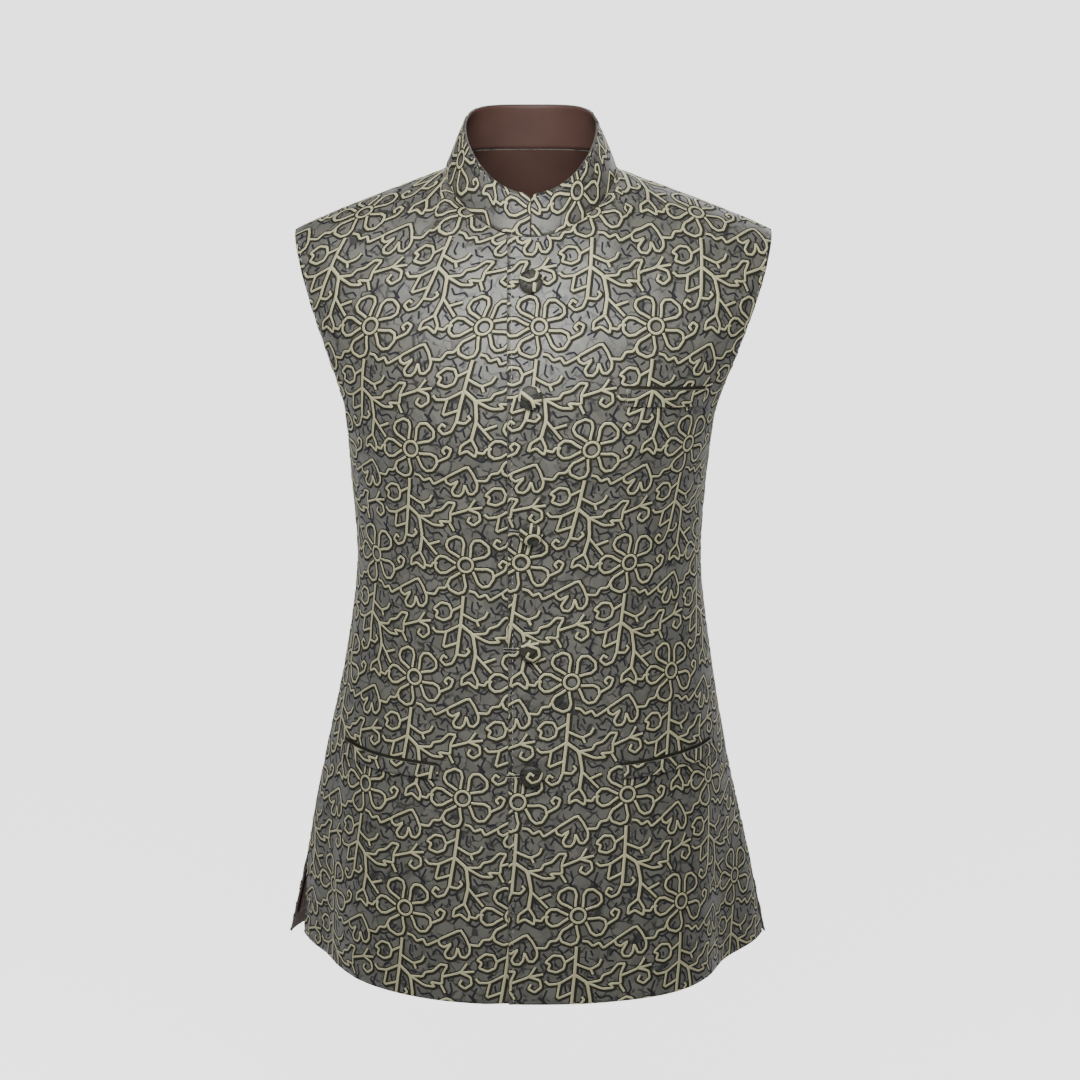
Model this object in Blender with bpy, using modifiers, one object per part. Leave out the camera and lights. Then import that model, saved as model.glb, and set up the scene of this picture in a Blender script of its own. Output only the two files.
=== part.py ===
"""A sleeveless nehru jacket in the hollow form it keeps when it is worn.

Metres, +Z up. The wearer faces -Y, so the wearer's left is +X. The origin is midway between the
two points where a shoulder seam meets the collar: the wearer's shoulders hold the jacket there.
Every panel is a loft through the sections below, from the hem up to its neckline and shoulder.
"""

import math
from collections import namedtuple

import bpy
import numpy as np
from mathutils import Vector

# Cloth and how it is sewn.
CLOTH = 0.0020  # brocade with its interlining
LINING_CLOTH = 0.0010
COLLAR_CLOTH = 0.0025
SEAM_GAP = 0.0003  # between two solids that a seam joins
LAYER_GAP = 0.0008  # between two faceted layers that lie on each other
SIDE_TRIM = 0.0009  # of a panel's width, left off at the side for the seam
TOP_TRIM = 0.0030  # of the last stretch, left off at the shoulder and the neckline

# The front closure: each front runs this far past the centre line, the wearer's left one on top.
LAP = 0.0200
TUCK_ENDS = 0.0450  # the front underneath is back in line this far from the centre

# The neck and the shoulder.
Ring = namedtuple("Ring", "half_width front_y back_y front_z side_z back_z")
NECKLINE = Ring(0.0740, -0.0800, 0.0580, -0.0480, 0.0000, 0.0100)
COLLAR_TOP = Ring(0.0580, -0.0660, 0.0500, -0.0130, 0.0370, 0.0500)
COLLAR_CORNER = 0.0060  # radius of the collar's two front corners
COLLAR_BULGE = 0.0002  # how far the band rounds out between its two edges
SHOULDER_TIP = np.array((0.2085, 0.0020, -0.0540))
SHOULDER_LEAN = 0.0020  # of both tips towards the wearer's left
SHOULDER_ROUND = 0.0030  # how far the shoulder rounds down to its tip

# How a panel is divided into faces. The columns crowd towards the side, where the body turns.
COLUMNS = 15  # of faces from the centre line to the side
NECK_COLUMNS = 6  # of these, the ones that end at the neckline, the rest at the shoulder seam
CROWDING = 0.35

# Half sections of the fronts and of the back, from the hem up. middle_ is on the centre line, side_
# on the side seam and, above the underarm, on the edge of the armhole. wrap is how far round, in
# degrees, the section has turned when it gets there. flat and round are its powers as a superellipse:
# the larger flat is, the flatter its middle, and under 2 round lets its side run straight. lean moves
# both sides towards the wearer's left.
Section = namedtuple("Section", "name middle_z middle_y side_x side_y side_z wrap flat round lean")
FRONT = (
    Section("hem", -0.7240, -0.1420, 0.2168, 0.0200, -0.7225, 90, 2.90, 1.15, 0.0014),
    Section("vent top", -0.6300, -0.1340, 0.2043, 0.0150, -0.6300, 90, 2.70, 1.35, -0.0035),
    Section("hip", -0.5350, -0.1220, 0.1844, 0.0130, -0.5350, 90, 2.50, 1.60, -0.0047),
    Section("low waist", -0.4400, -0.1130, 0.1660, 0.0110, -0.4400, 90, 2.35, 1.85, -0.0027),
    Section("waist", -0.3500, -0.1095, 0.1552, 0.0090, -0.3500, 90, 2.25, 2.00, -0.0020),
    Section("underarm", -0.2620, -0.1190, 0.1605, 0.0080, -0.2620, 90, 2.20, 2.00, -0.0020),
    Section("low armhole", -0.2250, -0.1245, 0.1600, -0.0200, -0.2410, 80, 2.20, 2.00, -0.0015),
    Section("chest", -0.1850, -0.1260, 0.1640, -0.0380, -0.2000, 72, 2.20, 2.00, -0.0005),
    Section("mid armhole", -0.1450, -0.1190, 0.1785, -0.0460, -0.1550, 64, 2.20, 2.10, 0.0010),
    Section("upper chest", -0.1000, -0.1020, 0.1960, -0.0380, -0.1040, 56, 2.20, 2.20, 0.0020),
)
BACK = (
    Section("hem", -0.7235, 0.1400, 0.2252, 0.0230, -0.7235, 90, 2.60, 1.40, -0.0038),
    Section("vent top", -0.6300, 0.1350, 0.2043, 0.0150, -0.6300, 90, 2.50, 1.55, -0.0035),
    Section("hip", -0.5350, 0.1230, 0.1844, 0.0130, -0.5350, 90, 2.40, 1.70, -0.0047),
    Section("low waist", -0.4400, 0.1020, 0.1660, 0.0110, -0.4400, 90, 2.30, 1.85, -0.0027),
    Section("waist", -0.3500, 0.0910, 0.1552, 0.0090, -0.3500, 90, 2.25, 2.00, -0.0020),
    Section("underarm", -0.2620, 0.1060, 0.1605, 0.0080, -0.2620, 90, 2.30, 2.00, -0.0020),
    Section("low armhole", -0.2250, 0.1120, 0.1640, 0.0380, -0.2410, 78, 2.30, 2.00, -0.0015),
    Section("blade", -0.1850, 0.1160, 0.1750, 0.0620, -0.2000, 68, 2.30, 2.10, -0.0005),
    Section("mid armhole", -0.1450, 0.1140, 0.1880, 0.0700, -0.1550, 60, 2.30, 2.20, 0.0010),
    Section("upper back", -0.0950, 0.1040, 0.2000, 0.0540, -0.1040, 54, 2.30, 2.30, 0.0020),
)
BACK_HALVES = ("back_right", "back_left")
UNDERARM = 5  # the section where the side seam ends and the armhole starts
ROWS_BETWEEN = (2, 2, 3, 3, 2, 3, 2, 2, 2, 4)  # rows of faces from each section to the next

# Soft folds that hang below the waist. at and spread are shares of the panel's width from the
# centre, depth is out of the body (in, where negative) at the hem, and top_z is where the fold fades.
Fold = namedtuple("Fold", "panel at spread depth top_z")
FOLDS = (
    Fold("front_left", 0.47, 0.15, 0.0060, -0.45),
    Fold("front_left", 0.75, 0.12, -0.0100, -0.52),
    Fold("front_right", 0.54, 0.16, 0.0040, -0.40),
    Fold("front_right", 0.80, 0.08, -0.0025, -0.52),
    Fold("back_left", 0.42, 0.14, 0.0045, -0.40),
    Fold("back_left", 0.72, 0.10, -0.0030, -0.46),
    Fold("back_right", 0.50, 0.15, 0.0040, -0.42),
    Fold("back_right", 0.20, 0.10, -0.0025, -0.50),
)

# What is sewn on. across is a share of the front's width from the centre to the side.
BUTTON_HEIGHTS = (-0.0840, -0.1770, -0.2980, -0.4040, -0.5160)
BUTTON_RADIUS = 0.0104
BUTTON_HEIGHT = 0.0068
SHANK_RADIUS = 0.0030
SHANK_HEIGHT = 0.0016
Welt = namedtuple("Welt", "name panel inner outer top_inner top_outer height")
WELTS = (
    Welt("pocket_welt_right", "front_right", 0.335, 0.795, -0.5110, -0.5115, 0.0120),
    Welt("pocket_welt_left", "front_left", 0.335, 0.795, -0.5110, -0.5115, 0.0120),
    Welt("breast_welt", "front_left", 0.410, 0.825, -0.1720, -0.1805, 0.0150),
)
WELT_CLOTH = 0.0015
WELT_COLUMNS = 9  # of faces along a welt
LINING_HEM = 0.0180  # the lining stops this far above the hem
LINING_EDGE = 0.60  # and this share of the way over the last column of faces, at the sides
LINING_COLUMNS = (0, 2, 4, 6, 8, 9, 10, 11, 12, 13, 14)  # of the back's, that it shares
LINING_TOP_ROW = sum(ROWS_BETWEEN[:-1])  # it ends here, under the facing of the back neckline


def smoothstep(low, high, value):
    share = np.clip((np.asarray(value, float) - low) / (high - low), 0.0, 1.0)
    return share * share * (3.0 - 2.0 * share)


def share_of(column):
    """How far across a panel a column of faces starts, from 0 at the centre to 1 at the side."""
    even = column / COLUMNS
    return (1 - CROWDING) * even + CROWDING * math.sin(even * math.pi / 2)


NECK_SHARE = share_of(NECK_COLUMNS)


def ring_point(ring, turn):
    """A point of a ring round the neck. turn is 0 at the front, half pi at the wearer's left."""
    facing = math.cos(turn)
    depth = ring.front_y if facing > 0 else -ring.back_y
    tilt = (ring.front_z - ring.back_z) / 2
    dip = (ring.front_z + ring.back_z) / 2 - ring.side_z
    rise = ring.side_z + tilt * facing + dip * facing**2
    return np.array((ring.half_width * math.sin(turn), depth * facing, rise))


def section_curve(section, side):
    """Points along a half section, with how far along it each lies."""
    turn = np.radians(np.linspace(0.0, section.wrap, 240))
    out = np.sin(turn) ** (2 / section.flat)
    back = 1.0 - np.cos(turn) ** (2 / section.round)
    x = (section.side_x + side * section.lean) * out / out[-1]
    y = section.middle_y + (section.side_y - section.middle_y) * back / back[-1]
    z = section.middle_z + (section.side_z - section.middle_z) * smoothstep(0.0, 1.0, out / out[-1])
    points = np.stack((x, y, z), axis=1)
    steps = np.linalg.norm(np.diff(points, axis=0), axis=1)
    return points, np.concatenate(([0.0], np.cumsum(steps)))


def along(points, lengths, distance):
    return np.array([np.interp(distance, lengths, points[:, axis]) for axis in range(3)])


def on_section(curve, across):
    """A point of a half section. across is 0 at the centre and 1 at the side, and a negative
    number is that many metres past the centre line."""
    points, lengths = curve
    if across < 0:
        return along(points, lengths, -across) * (-1, 1, 1)
    return along(points, lengths, across * lengths[-1])


def on_top_edge(across, side, at_back):
    """A point of the panel's upper edge: the neckline, then the shoulder seam out to its tip."""
    if across < 0:
        turn = math.asin(-across / NECKLINE.half_width)
        return on_top_edge(turn / (math.pi / 2) * NECK_SHARE, side, at_back) * (-1, 1, 1)
    if across <= NECK_SHARE:
        turn = across / NECK_SHARE * math.pi / 2
        return ring_point(NECKLINE, math.pi - turn if at_back else turn)
    share = (across - NECK_SHARE) / (1 - NECK_SHARE)
    tip = SHOULDER_TIP + (side * SHOULDER_LEAN, 0, 0)
    point = ring_point(NECKLINE, math.pi / 2) * (1 - share) + tip * share
    return point - (0, 0, SHOULDER_ROUND * (share**6 - share))


def top_slope(across, at_back):
    """Which way the cloth runs where it meets the neckline or goes over the shoulder."""
    inward = -1.0 if at_back else 1.0
    neck = np.array((0.0, 0.40 * inward, 0.92))
    shoulder = np.array((0.0, inward, 0.05))
    over = math.sin(min(max(across, 0.0) / NECK_SHARE, 1.0) * math.pi / 2) ** 2
    slope = neck * (1 - over) + shoulder * over
    return slope / np.linalg.norm(slope)


def loft(sections, side, at_back, across, ups):
    """The panel's points: a row for each of ups, in sections from the hem, a column for each across."""
    curves = [section_curve(section, side) for section in sections]
    rows = [[on_section(curve, share) for share in across] for curve in curves]
    rows.append([on_top_edge(share, side, at_back) for share in across])
    rows = np.array(rows)
    knots = np.array([[on_section(curve, share) for share in (0.0, 0.5, 1.0)] for curve in curves])
    top = np.array([[on_top_edge(share, side, at_back) for share in (0.0, 0.5, 1.0)]])
    strides = np.linalg.norm(np.diff(np.concatenate((knots, top)), axis=0), axis=2).mean(axis=1)
    slopes = np.diff(rows, axis=0) / strides[:, None, None]
    into = np.empty_like(rows)
    into[0] = slopes[0]
    for k in range(1, len(rows) - 1):
        before, after = strides[k - 1], strides[k]
        into[k] = (after * slopes[k - 1] + before * slopes[k]) / (before + after)
    for column, share in enumerate(across):
        pull = np.linalg.norm(slopes[-1, column])
        into[-1, column] = top_slope(share, at_back) * pull * 1.25
    out_of = into.copy()
    # At the side, the seam runs straight into the underarm and the armhole turns off from it.
    turned = np.clip(across, 0, 1)[:, None] ** 10
    into[UNDERARM] = into[UNDERARM] * (1 - turned) + slopes[UNDERARM - 1] * turned
    leaving = np.array((0.0, 1.0 if at_back else -1.0, 0.12)) * 1.1
    out_of[UNDERARM] = out_of[UNDERARM] * (1 - turned) + leaving * turned
    grid = []
    for up in ups:
        k = min(int(up), len(rows) - 2)
        t = up - k
        stride = strides[k]
        grid.append(
            rows[k] * (2 * t**3 - 3 * t**2 + 1)
            + out_of[k] * stride * (t**3 - 2 * t**2 + t)
            + rows[k + 1] * (3 * t**2 - 2 * t**3)
            + into[k + 1] * stride * (t**3 - t**2)
        )
    return np.array(grid)


def normals_of(grid, facing):
    """Unit normals of a grid of points. facing is 1 where columns by rows point out of the body."""
    across = np.gradient(grid, axis=1)
    up = np.gradient(grid, axis=0)
    normals = np.cross(across, up) * facing
    return normals / np.linalg.norm(normals, axis=2, keepdims=True)


def fold_depth(panel, across, heights):
    """How far the panel's soft folds move each point out."""
    depth = np.zeros_like(heights)
    for fold in FOLDS:
        if fold.panel != panel:
            continue
        grown = smoothstep(fold.top_z, FRONT[0].middle_z, heights)
        grown = np.where(heights < fold.top_z, grown, 0.0)
        depth += fold.depth * np.exp(-(((across - fold.at) / fold.spread) ** 2)) * grown
    return depth


def half_panel(panel, across, ups):
    """Points and outward normals of one front, or of one half of the back."""
    at_back = panel.startswith("back")
    side = 1 if panel.endswith("left") else -1
    across = np.asarray(across, float)
    grid = loft(BACK if at_back else FRONT, side, at_back, across, ups)
    normals = normals_of(grid, -1 if at_back else 1)
    grid = grid + normals * fold_depth(panel, across[None, :], grid[:, :, 2])[:, :, None]
    if panel == "front_right":
        tucked = 1.0 - smoothstep(LAP, TUCK_ENDS, grid[:, :, 0])
        grid = grid - normals * ((CLOTH + LAYER_GAP) * tucked)[:, :, None]
    return grid * (side, 1, 1), normals * (side, 1, 1)


def columns_across(past_centre=()):
    """Where the columns of faces start, with those that run past the centre line, in metres."""
    across = [-metres for metres in past_centre]
    across += [share_of(column) for column in range(COLUMNS + 1)]
    across[-1] -= SIDE_TRIM
    return np.array(across)


def rows_up():
    """Where the rows of faces lie, in sections from the hem. They crowd over the shoulder."""
    last = len(ROWS_BETWEEN) - 1
    ups = [k + step / count for k, count in enumerate(ROWS_BETWEEN[:-1]) for step in range(count)]
    steps = np.linspace(0.0, math.pi / 2, ROWS_BETWEEN[-1] + 1)
    ups += [last + math.sin(step) for step in steps]
    ups[-1] -= TOP_TRIM
    return ups


def at_height(panel, across, height):
    """The point and the normal of a panel at this share of its width and this height."""
    low, high = 0.0, 9.8
    nearby = (across - 0.01, across, across + 0.01)
    for _ in range(30):
        middle = (low + high) / 2
        point = half_panel(panel, nearby, (middle - 0.02, middle, middle + 0.02))[0][1, 1]
        low, high = (middle, high) if point[2] < height else (low, middle)
    points, normals = half_panel(panel, nearby, (middle - 0.02, middle, middle + 0.02))
    return points[1, 1], normals[1, 1]


def plain_material(name, colour, roughness, sheen=0.0):
    material = bpy.data.materials.new(name)
    material.use_nodes = True
    shader = material.node_tree.nodes["Principled BSDF"]
    shader.inputs["Base Color"].default_value = (*colour, 1.0)
    shader.inputs["Roughness"].default_value = roughness
    shader.inputs["Sheen Weight"].default_value = sheen
    material.diffuse_color = (*colour, 1.0)
    return material


def cloth_piece(name, grid, inward, facing, material, collection):
    """A wall of cloth: a grid of points, the same points moved inward, and the rim between them.
    facing is 1 where columns by rows point out of the body."""
    height, width = grid.shape[:2]
    count = height * width
    index = np.arange(count).reshape(height, width)
    faces = []
    for row in range(height - 1):
        for column in range(width - 1):
            corner = row * width + column
            face = (corner, corner + 1, corner + width + 1, corner + width)
            faces.append(face)
            faces.append(tuple(point + count for point in face[::-1]))
    rim = [*index[0, :-1], *index[:-1, -1], *index[-1, :0:-1], *index[:0:-1, 0]]
    for first, second in zip(rim, rim[1:] + rim[:1]):
        faces.append((second, first, first + count, second + count))
    if facing < 0:
        faces = [face[::-1] for face in faces]
    points = np.concatenate((grid.reshape(-1, 3), (grid + inward).reshape(-1, 3)))
    mesh = bpy.data.meshes.new(name)
    mesh.from_pydata(points.tolist(), [], [[int(point) for point in face] for face in faces])
    mesh.materials.append(material)
    mesh.shade_smooth()
    collection.objects.link(bpy.data.objects.new(name, mesh))


def wall_of(normals):
    """The way in through a panel's wall. At the side seam it lies along the seam, so that the two
    panels' edges stay parallel."""
    inward = -CLOTH * normals
    seam_rows = sum(ROWS_BETWEEN[:UNDERARM]) + 1
    inward[:seam_rows, -1, 1] = 0.0
    return inward


def add_front(panel, material, collection):
    grid, normals = half_panel(panel, columns_across((LAP, LAP / 2)), rows_up())
    facing = 1 if panel == "front_left" else -1
    cloth_piece(panel, grid, wall_of(normals), facing, material, collection)


def mirrored_join(right, left):
    """The two halves of the back as one grid, from the wearer's right side to the left."""
    return np.concatenate((right[:, :0:-1], left), axis=1)


def add_back(material, collection):
    halves = [half_panel(panel, columns_across(), rows_up()) for panel in BACK_HALVES]
    grid = mirrored_join(*[points for points, _ in halves])
    inward = mirrored_join(*[wall_of(normals) for _, normals in halves])
    cloth_piece("back", grid, inward, -1, material, collection)


def add_back_lining(material, collection):
    """The lining lies on the faces of the back, so it keeps their rows and their outer columns."""
    outer, inner = [], []
    for panel in BACK_HALVES:
        points, normals = half_panel(panel, columns_across(), rows_up())
        for side, depth in ((outer, CLOTH + LAYER_GAP), (inner, CLOTH + LAYER_GAP + LINING_CLOTH)):
            layer = points - normals * depth
            edge = layer[:, -2] + (layer[:, -1] - layer[:, -2]) * LINING_EDGE
            layer = np.concatenate((layer[:, LINING_COLUMNS], edge[:, None]), axis=1)
            above_hem = LINING_HEM / (layer[1, 0, 2] - layer[0, 0, 2])
            layer[0] += (layer[1] - layer[0]) * above_hem
            side.append(layer[: LINING_TOP_ROW + 1])
    grid = mirrored_join(*outer)
    inward = mirrored_join(*inner) - grid
    cloth_piece("lining_back", grid, inward, -1, material, collection)


def add_collar(material, collection):
    """The stand collar: one band from centre front round the neck to centre front."""
    quarter = [share_of(column) / NECK_SHARE * math.pi / 2 for column in range(NECK_COLUMNS + 1)]
    half = quarter + [math.pi - turn for turn in quarter[-2::-1]]
    seam_turns = half + [2 * math.pi - turn for turn in half[-2::-1]]
    seam = np.array([ring_point(NECKLINE, turn) for turn in seam_turns])
    first = SEAM_GAP / COLLAR_TOP.half_width
    corner = [first] + [quarter[1] * share for share in (0.07, 0.18, 0.45)]
    turns = corner + seam_turns[1:-1] + [2 * math.pi - turn for turn in corner[::-1]]
    grid = []
    for share in (0.0, 0.35, 0.70, 1.0):
        row = []
        for turn in turns:
            low = np.array([np.interp(turn, seam_turns, seam[:, axis]) for axis in range(3)])
            high = ring_point(COLLAR_TOP, turn)
            rise = (high - low) / np.linalg.norm(high - low)
            low = low + rise * SEAM_GAP
            from_end = COLLAR_TOP.half_width * (min(turn, 2 * math.pi - turn) - first)
            short = min(max(COLLAR_CORNER - from_end, 0.0), COLLAR_CORNER)
            high = high - rise * (COLLAR_CORNER - math.sqrt(COLLAR_CORNER**2 - short**2))
            bulge = math.sin(share * math.pi) * COLLAR_BULGE
            out = np.array((math.sin(turn), -math.cos(turn), 0.0))
            row.append(low * (1 - share) + high * share + out * bulge)
        grid.append(row)
    grid = np.array(grid)
    cloth_piece("collar", grid, -COLLAR_CLOTH * normals_of(grid, 1), 1, material, collection)


def add_welt(welt, material, collection):
    """A narrow strip of cloth that lies on its front, below the pocket's slit."""
    shares = np.linspace(0.0, 1.0, WELT_COLUMNS + 1)
    rows = []
    for drop in (1.0, 0.5, 0.0):
        row = []
        for share in shares:
            across = welt.inner + (welt.outer - welt.inner) * share
            height = welt.top_inner + (welt.top_outer - welt.top_inner) * share
            row.append(at_height(welt.panel, across, height - welt.height * drop))
        rows.append(row)
    points, normals = np.moveaxis(np.array(rows), 2, 0)
    grid = points + normals * (LAYER_GAP + WELT_CLOTH)
    facing = 1 if welt.panel == "front_left" else -1
    cloth_piece(welt.name, grid, -WELT_CLOTH * normals, facing, material, collection)


def button_mesh(material):
    """A domed button covered in cloth, on a short shank, turned about +Z and standing on z = 0."""
    rim = SHANK_HEIGHT + 0.0012
    dome = BUTTON_HEIGHT - rim
    profile = [
        (BUTTON_RADIUS * math.sin(turn), 0.0, rim + dome * math.cos(turn))
        for turn in np.radians((0.0, 25.0, 50.0, 72.0, 90.0))
    ]
    profile += [
        (BUTTON_RADIUS * 0.90, 0.0, SHANK_HEIGHT),
        (SHANK_RADIUS, 0.0, SHANK_HEIGHT),
        (SHANK_RADIUS, 0.0, 0.0),
        (0.0, 0.0, 0.0),
    ]
    mesh = bpy.data.meshes.new("covered_button")
    mesh.from_pydata(profile, [(k, k + 1) for k in range(len(profile) - 1)], [])
    mesh.materials.append(material)
    return mesh


def add_buttons(material, collection):
    mesh = button_mesh(material)
    for number, height in enumerate(BUTTON_HEIGHTS, 1):
        point, normal = at_height("front_left", 0.0, height)
        button = bpy.data.objects.new(f"button_{number}", mesh)
        collection.objects.link(button)
        button.location = Vector(point + normal * SEAM_GAP)
        button.rotation_mode = "QUATERNION"
        button.rotation_quaternion = Vector((0, 0, 1)).rotation_difference(Vector(normal))
        screw = button.modifiers.new("turned", "SCREW")
        screw.steps = screw.render_steps = 16
        screw.use_merge_vertices = True
        screw.merge_threshold = 0.00001
        screw.use_smooth_shade = True


def main():
    for leftover in list(bpy.data.objects):
        bpy.data.objects.remove(leftover)
    jacket = bpy.data.collections.new("nehru_jacket")
    bpy.context.scene.collection.children.link(jacket)
    brocade = plain_material("slate_brocade", (0.16, 0.16, 0.165), 0.55, 0.2)
    collar_cloth = plain_material("collar_brocade", (0.20, 0.20, 0.19), 0.55, 0.2)
    welt_cloth = plain_material("welt_brocade", (0.11, 0.11, 0.115), 0.55, 0.2)
    lining = plain_material("dark_lining", (0.040, 0.026, 0.022), 0.40)
    covered = plain_material("covered_button", (0.24, 0.23, 0.19), 0.50, 0.2)
    add_front("front_left", brocade, jacket)
    add_front("front_right", brocade, jacket)
    add_back(brocade, jacket)
    add_back_lining(lining, jacket)
    add_collar(collar_cloth, jacket)
    for welt in WELTS:
        add_welt(welt, welt_cloth, jacket)
    add_buttons(covered, jacket)


main()
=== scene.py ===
"""The looks of a sleeveless nehru jacket of figured brocade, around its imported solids.

Metres, +Z up. The wearer faces -Y, so the wearer's left is +X. Each panel is worked out again from
the sections that its solid has, on a fine grid, with its small creases. It is then laid flat, so
that the brocade's repeat runs along the grain of its cut, as it would on a cutting table.
"""

import math
from collections import namedtuple

import bpy
import numpy as np
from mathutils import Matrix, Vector

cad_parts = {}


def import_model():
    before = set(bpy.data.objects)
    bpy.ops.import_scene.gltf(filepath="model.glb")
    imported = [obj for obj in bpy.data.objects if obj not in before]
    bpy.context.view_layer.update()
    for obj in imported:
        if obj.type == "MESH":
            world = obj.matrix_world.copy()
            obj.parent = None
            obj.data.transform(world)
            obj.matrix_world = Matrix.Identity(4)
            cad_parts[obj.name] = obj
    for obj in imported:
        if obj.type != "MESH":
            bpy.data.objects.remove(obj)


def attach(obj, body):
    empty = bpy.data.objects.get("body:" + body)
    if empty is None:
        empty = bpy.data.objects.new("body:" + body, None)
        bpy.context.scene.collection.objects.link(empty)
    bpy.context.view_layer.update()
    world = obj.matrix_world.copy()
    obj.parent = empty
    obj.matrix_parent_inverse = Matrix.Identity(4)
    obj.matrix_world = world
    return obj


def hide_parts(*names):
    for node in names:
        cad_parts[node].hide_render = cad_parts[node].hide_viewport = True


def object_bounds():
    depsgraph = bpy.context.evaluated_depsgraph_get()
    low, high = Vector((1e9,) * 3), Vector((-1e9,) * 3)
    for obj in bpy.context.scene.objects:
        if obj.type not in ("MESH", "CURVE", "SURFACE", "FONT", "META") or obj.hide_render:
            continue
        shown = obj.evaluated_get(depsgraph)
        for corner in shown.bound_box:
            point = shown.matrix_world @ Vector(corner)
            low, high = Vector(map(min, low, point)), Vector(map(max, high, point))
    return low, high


# Cloth and how it is sewn.
CLOTH = 0.0020  # brocade with its interlining
LINING_CLOTH = 0.0010
COLLAR_CLOTH = 0.0025
SEAM_GAP = 0.0003  # between two solids that a seam joins
LAYER_GAP = 0.0008  # between two faceted layers that lie on each other
SIDE_TRIM = 0.0009  # of a panel's width, left off at the side for the seam
TOP_TRIM = 0.0006  # of the last stretch, left off at the shoulder and the neckline

# The front closure: each front runs this far past the centre line, the wearer's left one on top.
LAP = 0.0200
TUCK_ENDS = 0.0450  # the front underneath is back in line this far from the centre

# The neck and the shoulder.
Ring = namedtuple("Ring", "half_width front_y back_y front_z side_z back_z")
NECKLINE = Ring(0.0740, -0.0800, 0.0580, -0.0480, 0.0000, 0.0100)
COLLAR_TOP = Ring(0.0580, -0.0660, 0.0500, -0.0130, 0.0370, 0.0500)
COLLAR_CORNER = 0.0060  # radius of the collar's two front corners
COLLAR_BULGE = 0.0002  # how far the band rounds out between its two edges
SHOULDER_TIP = np.array((0.2085, 0.0020, -0.0540))
SHOULDER_LEAN = 0.0020  # of both tips towards the wearer's left
SHOULDER_ROUND = 0.0030  # how far the shoulder rounds down to its tip

# How a panel is divided into faces. The columns crowd towards the side, where the body turns.
COLUMNS = 15  # of faces from the centre line to the side
NECK_COLUMNS = 6  # of these, the ones that end at the neckline, the rest at the shoulder seam
CROWDING = 0.35

# Half sections of the fronts and of the back, from the hem up. middle_ is on the centre line, side_
# on the side seam and, above the underarm, on the edge of the armhole. wrap is how far round, in
# degrees, the section has turned when it gets there. flat and round are its powers as a superellipse:
# the larger flat is, the flatter its middle, and under 2 round lets its side run straight. lean moves
# both sides towards the wearer's left.
Section = namedtuple("Section", "name middle_z middle_y side_x side_y side_z wrap flat round lean")
FRONT = (
    Section("hem", -0.7240, -0.1420, 0.2168, 0.0200, -0.7225, 90, 2.90, 1.15, 0.0014),
    Section("vent top", -0.6300, -0.1340, 0.2043, 0.0150, -0.6300, 90, 2.70, 1.35, -0.0035),
    Section("hip", -0.5350, -0.1220, 0.1844, 0.0130, -0.5350, 90, 2.50, 1.60, -0.0047),
    Section("low waist", -0.4400, -0.1130, 0.1660, 0.0110, -0.4400, 90, 2.35, 1.85, -0.0027),
    Section("waist", -0.3500, -0.1095, 0.1552, 0.0090, -0.3500, 90, 2.25, 2.00, -0.0020),
    Section("underarm", -0.2620, -0.1190, 0.1605, 0.0080, -0.2620, 90, 2.20, 2.00, -0.0020),
    Section("low armhole", -0.2250, -0.1245, 0.1600, -0.0200, -0.2410, 80, 2.20, 2.00, -0.0015),
    Section("chest", -0.1850, -0.1260, 0.1640, -0.0380, -0.2000, 72, 2.20, 2.00, -0.0005),
    Section("mid armhole", -0.1450, -0.1190, 0.1785, -0.0460, -0.1550, 64, 2.20, 2.10, 0.0010),
    Section("upper chest", -0.1000, -0.1020, 0.1960, -0.0380, -0.1040, 56, 2.20, 2.20, 0.0020),
)
BACK = (
    Section("hem", -0.7235, 0.1400, 0.2252, 0.0230, -0.7235, 90, 2.60, 1.40, -0.0038),
    Section("vent top", -0.6300, 0.1350, 0.2043, 0.0150, -0.6300, 90, 2.50, 1.55, -0.0035),
    Section("hip", -0.5350, 0.1230, 0.1844, 0.0130, -0.5350, 90, 2.40, 1.70, -0.0047),
    Section("low waist", -0.4400, 0.1020, 0.1660, 0.0110, -0.4400, 90, 2.30, 1.85, -0.0027),
    Section("waist", -0.3500, 0.0910, 0.1552, 0.0090, -0.3500, 90, 2.25, 2.00, -0.0020),
    Section("underarm", -0.2620, 0.1060, 0.1605, 0.0080, -0.2620, 90, 2.30, 2.00, -0.0020),
    Section("low armhole", -0.2250, 0.1120, 0.1640, 0.0380, -0.2410, 78, 2.30, 2.00, -0.0015),
    Section("blade", -0.1850, 0.1160, 0.1750, 0.0620, -0.2000, 68, 2.30, 2.10, -0.0005),
    Section("mid armhole", -0.1450, 0.1140, 0.1880, 0.0700, -0.1550, 60, 2.30, 2.20, 0.0010),
    Section("upper back", -0.0950, 0.1040, 0.2000, 0.0540, -0.1040, 54, 2.30, 2.30, 0.0020),
)
BACK_HALVES = ("back_right", "back_left")
UNDERARM = 5  # the section where the side seam ends and the armhole starts

# Soft folds that hang below the waist. at and spread are shares of the panel's width from the
# centre, depth is out of the body (in, where negative) at the hem, and top_z is where the fold fades.
Fold = namedtuple("Fold", "panel at spread depth top_z")
FOLDS = (
    Fold("front_left", 0.47, 0.15, 0.0060, -0.45),
    Fold("front_left", 0.75, 0.12, -0.0100, -0.52),
    Fold("front_right", 0.54, 0.16, 0.0040, -0.40),
    Fold("front_right", 0.80, 0.08, -0.0025, -0.52),
    Fold("back_left", 0.42, 0.14, 0.0045, -0.40),
    Fold("back_left", 0.72, 0.10, -0.0030, -0.46),
    Fold("back_right", 0.50, 0.15, 0.0040, -0.42),
    Fold("back_right", 0.20, 0.10, -0.0025, -0.50),
)

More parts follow.
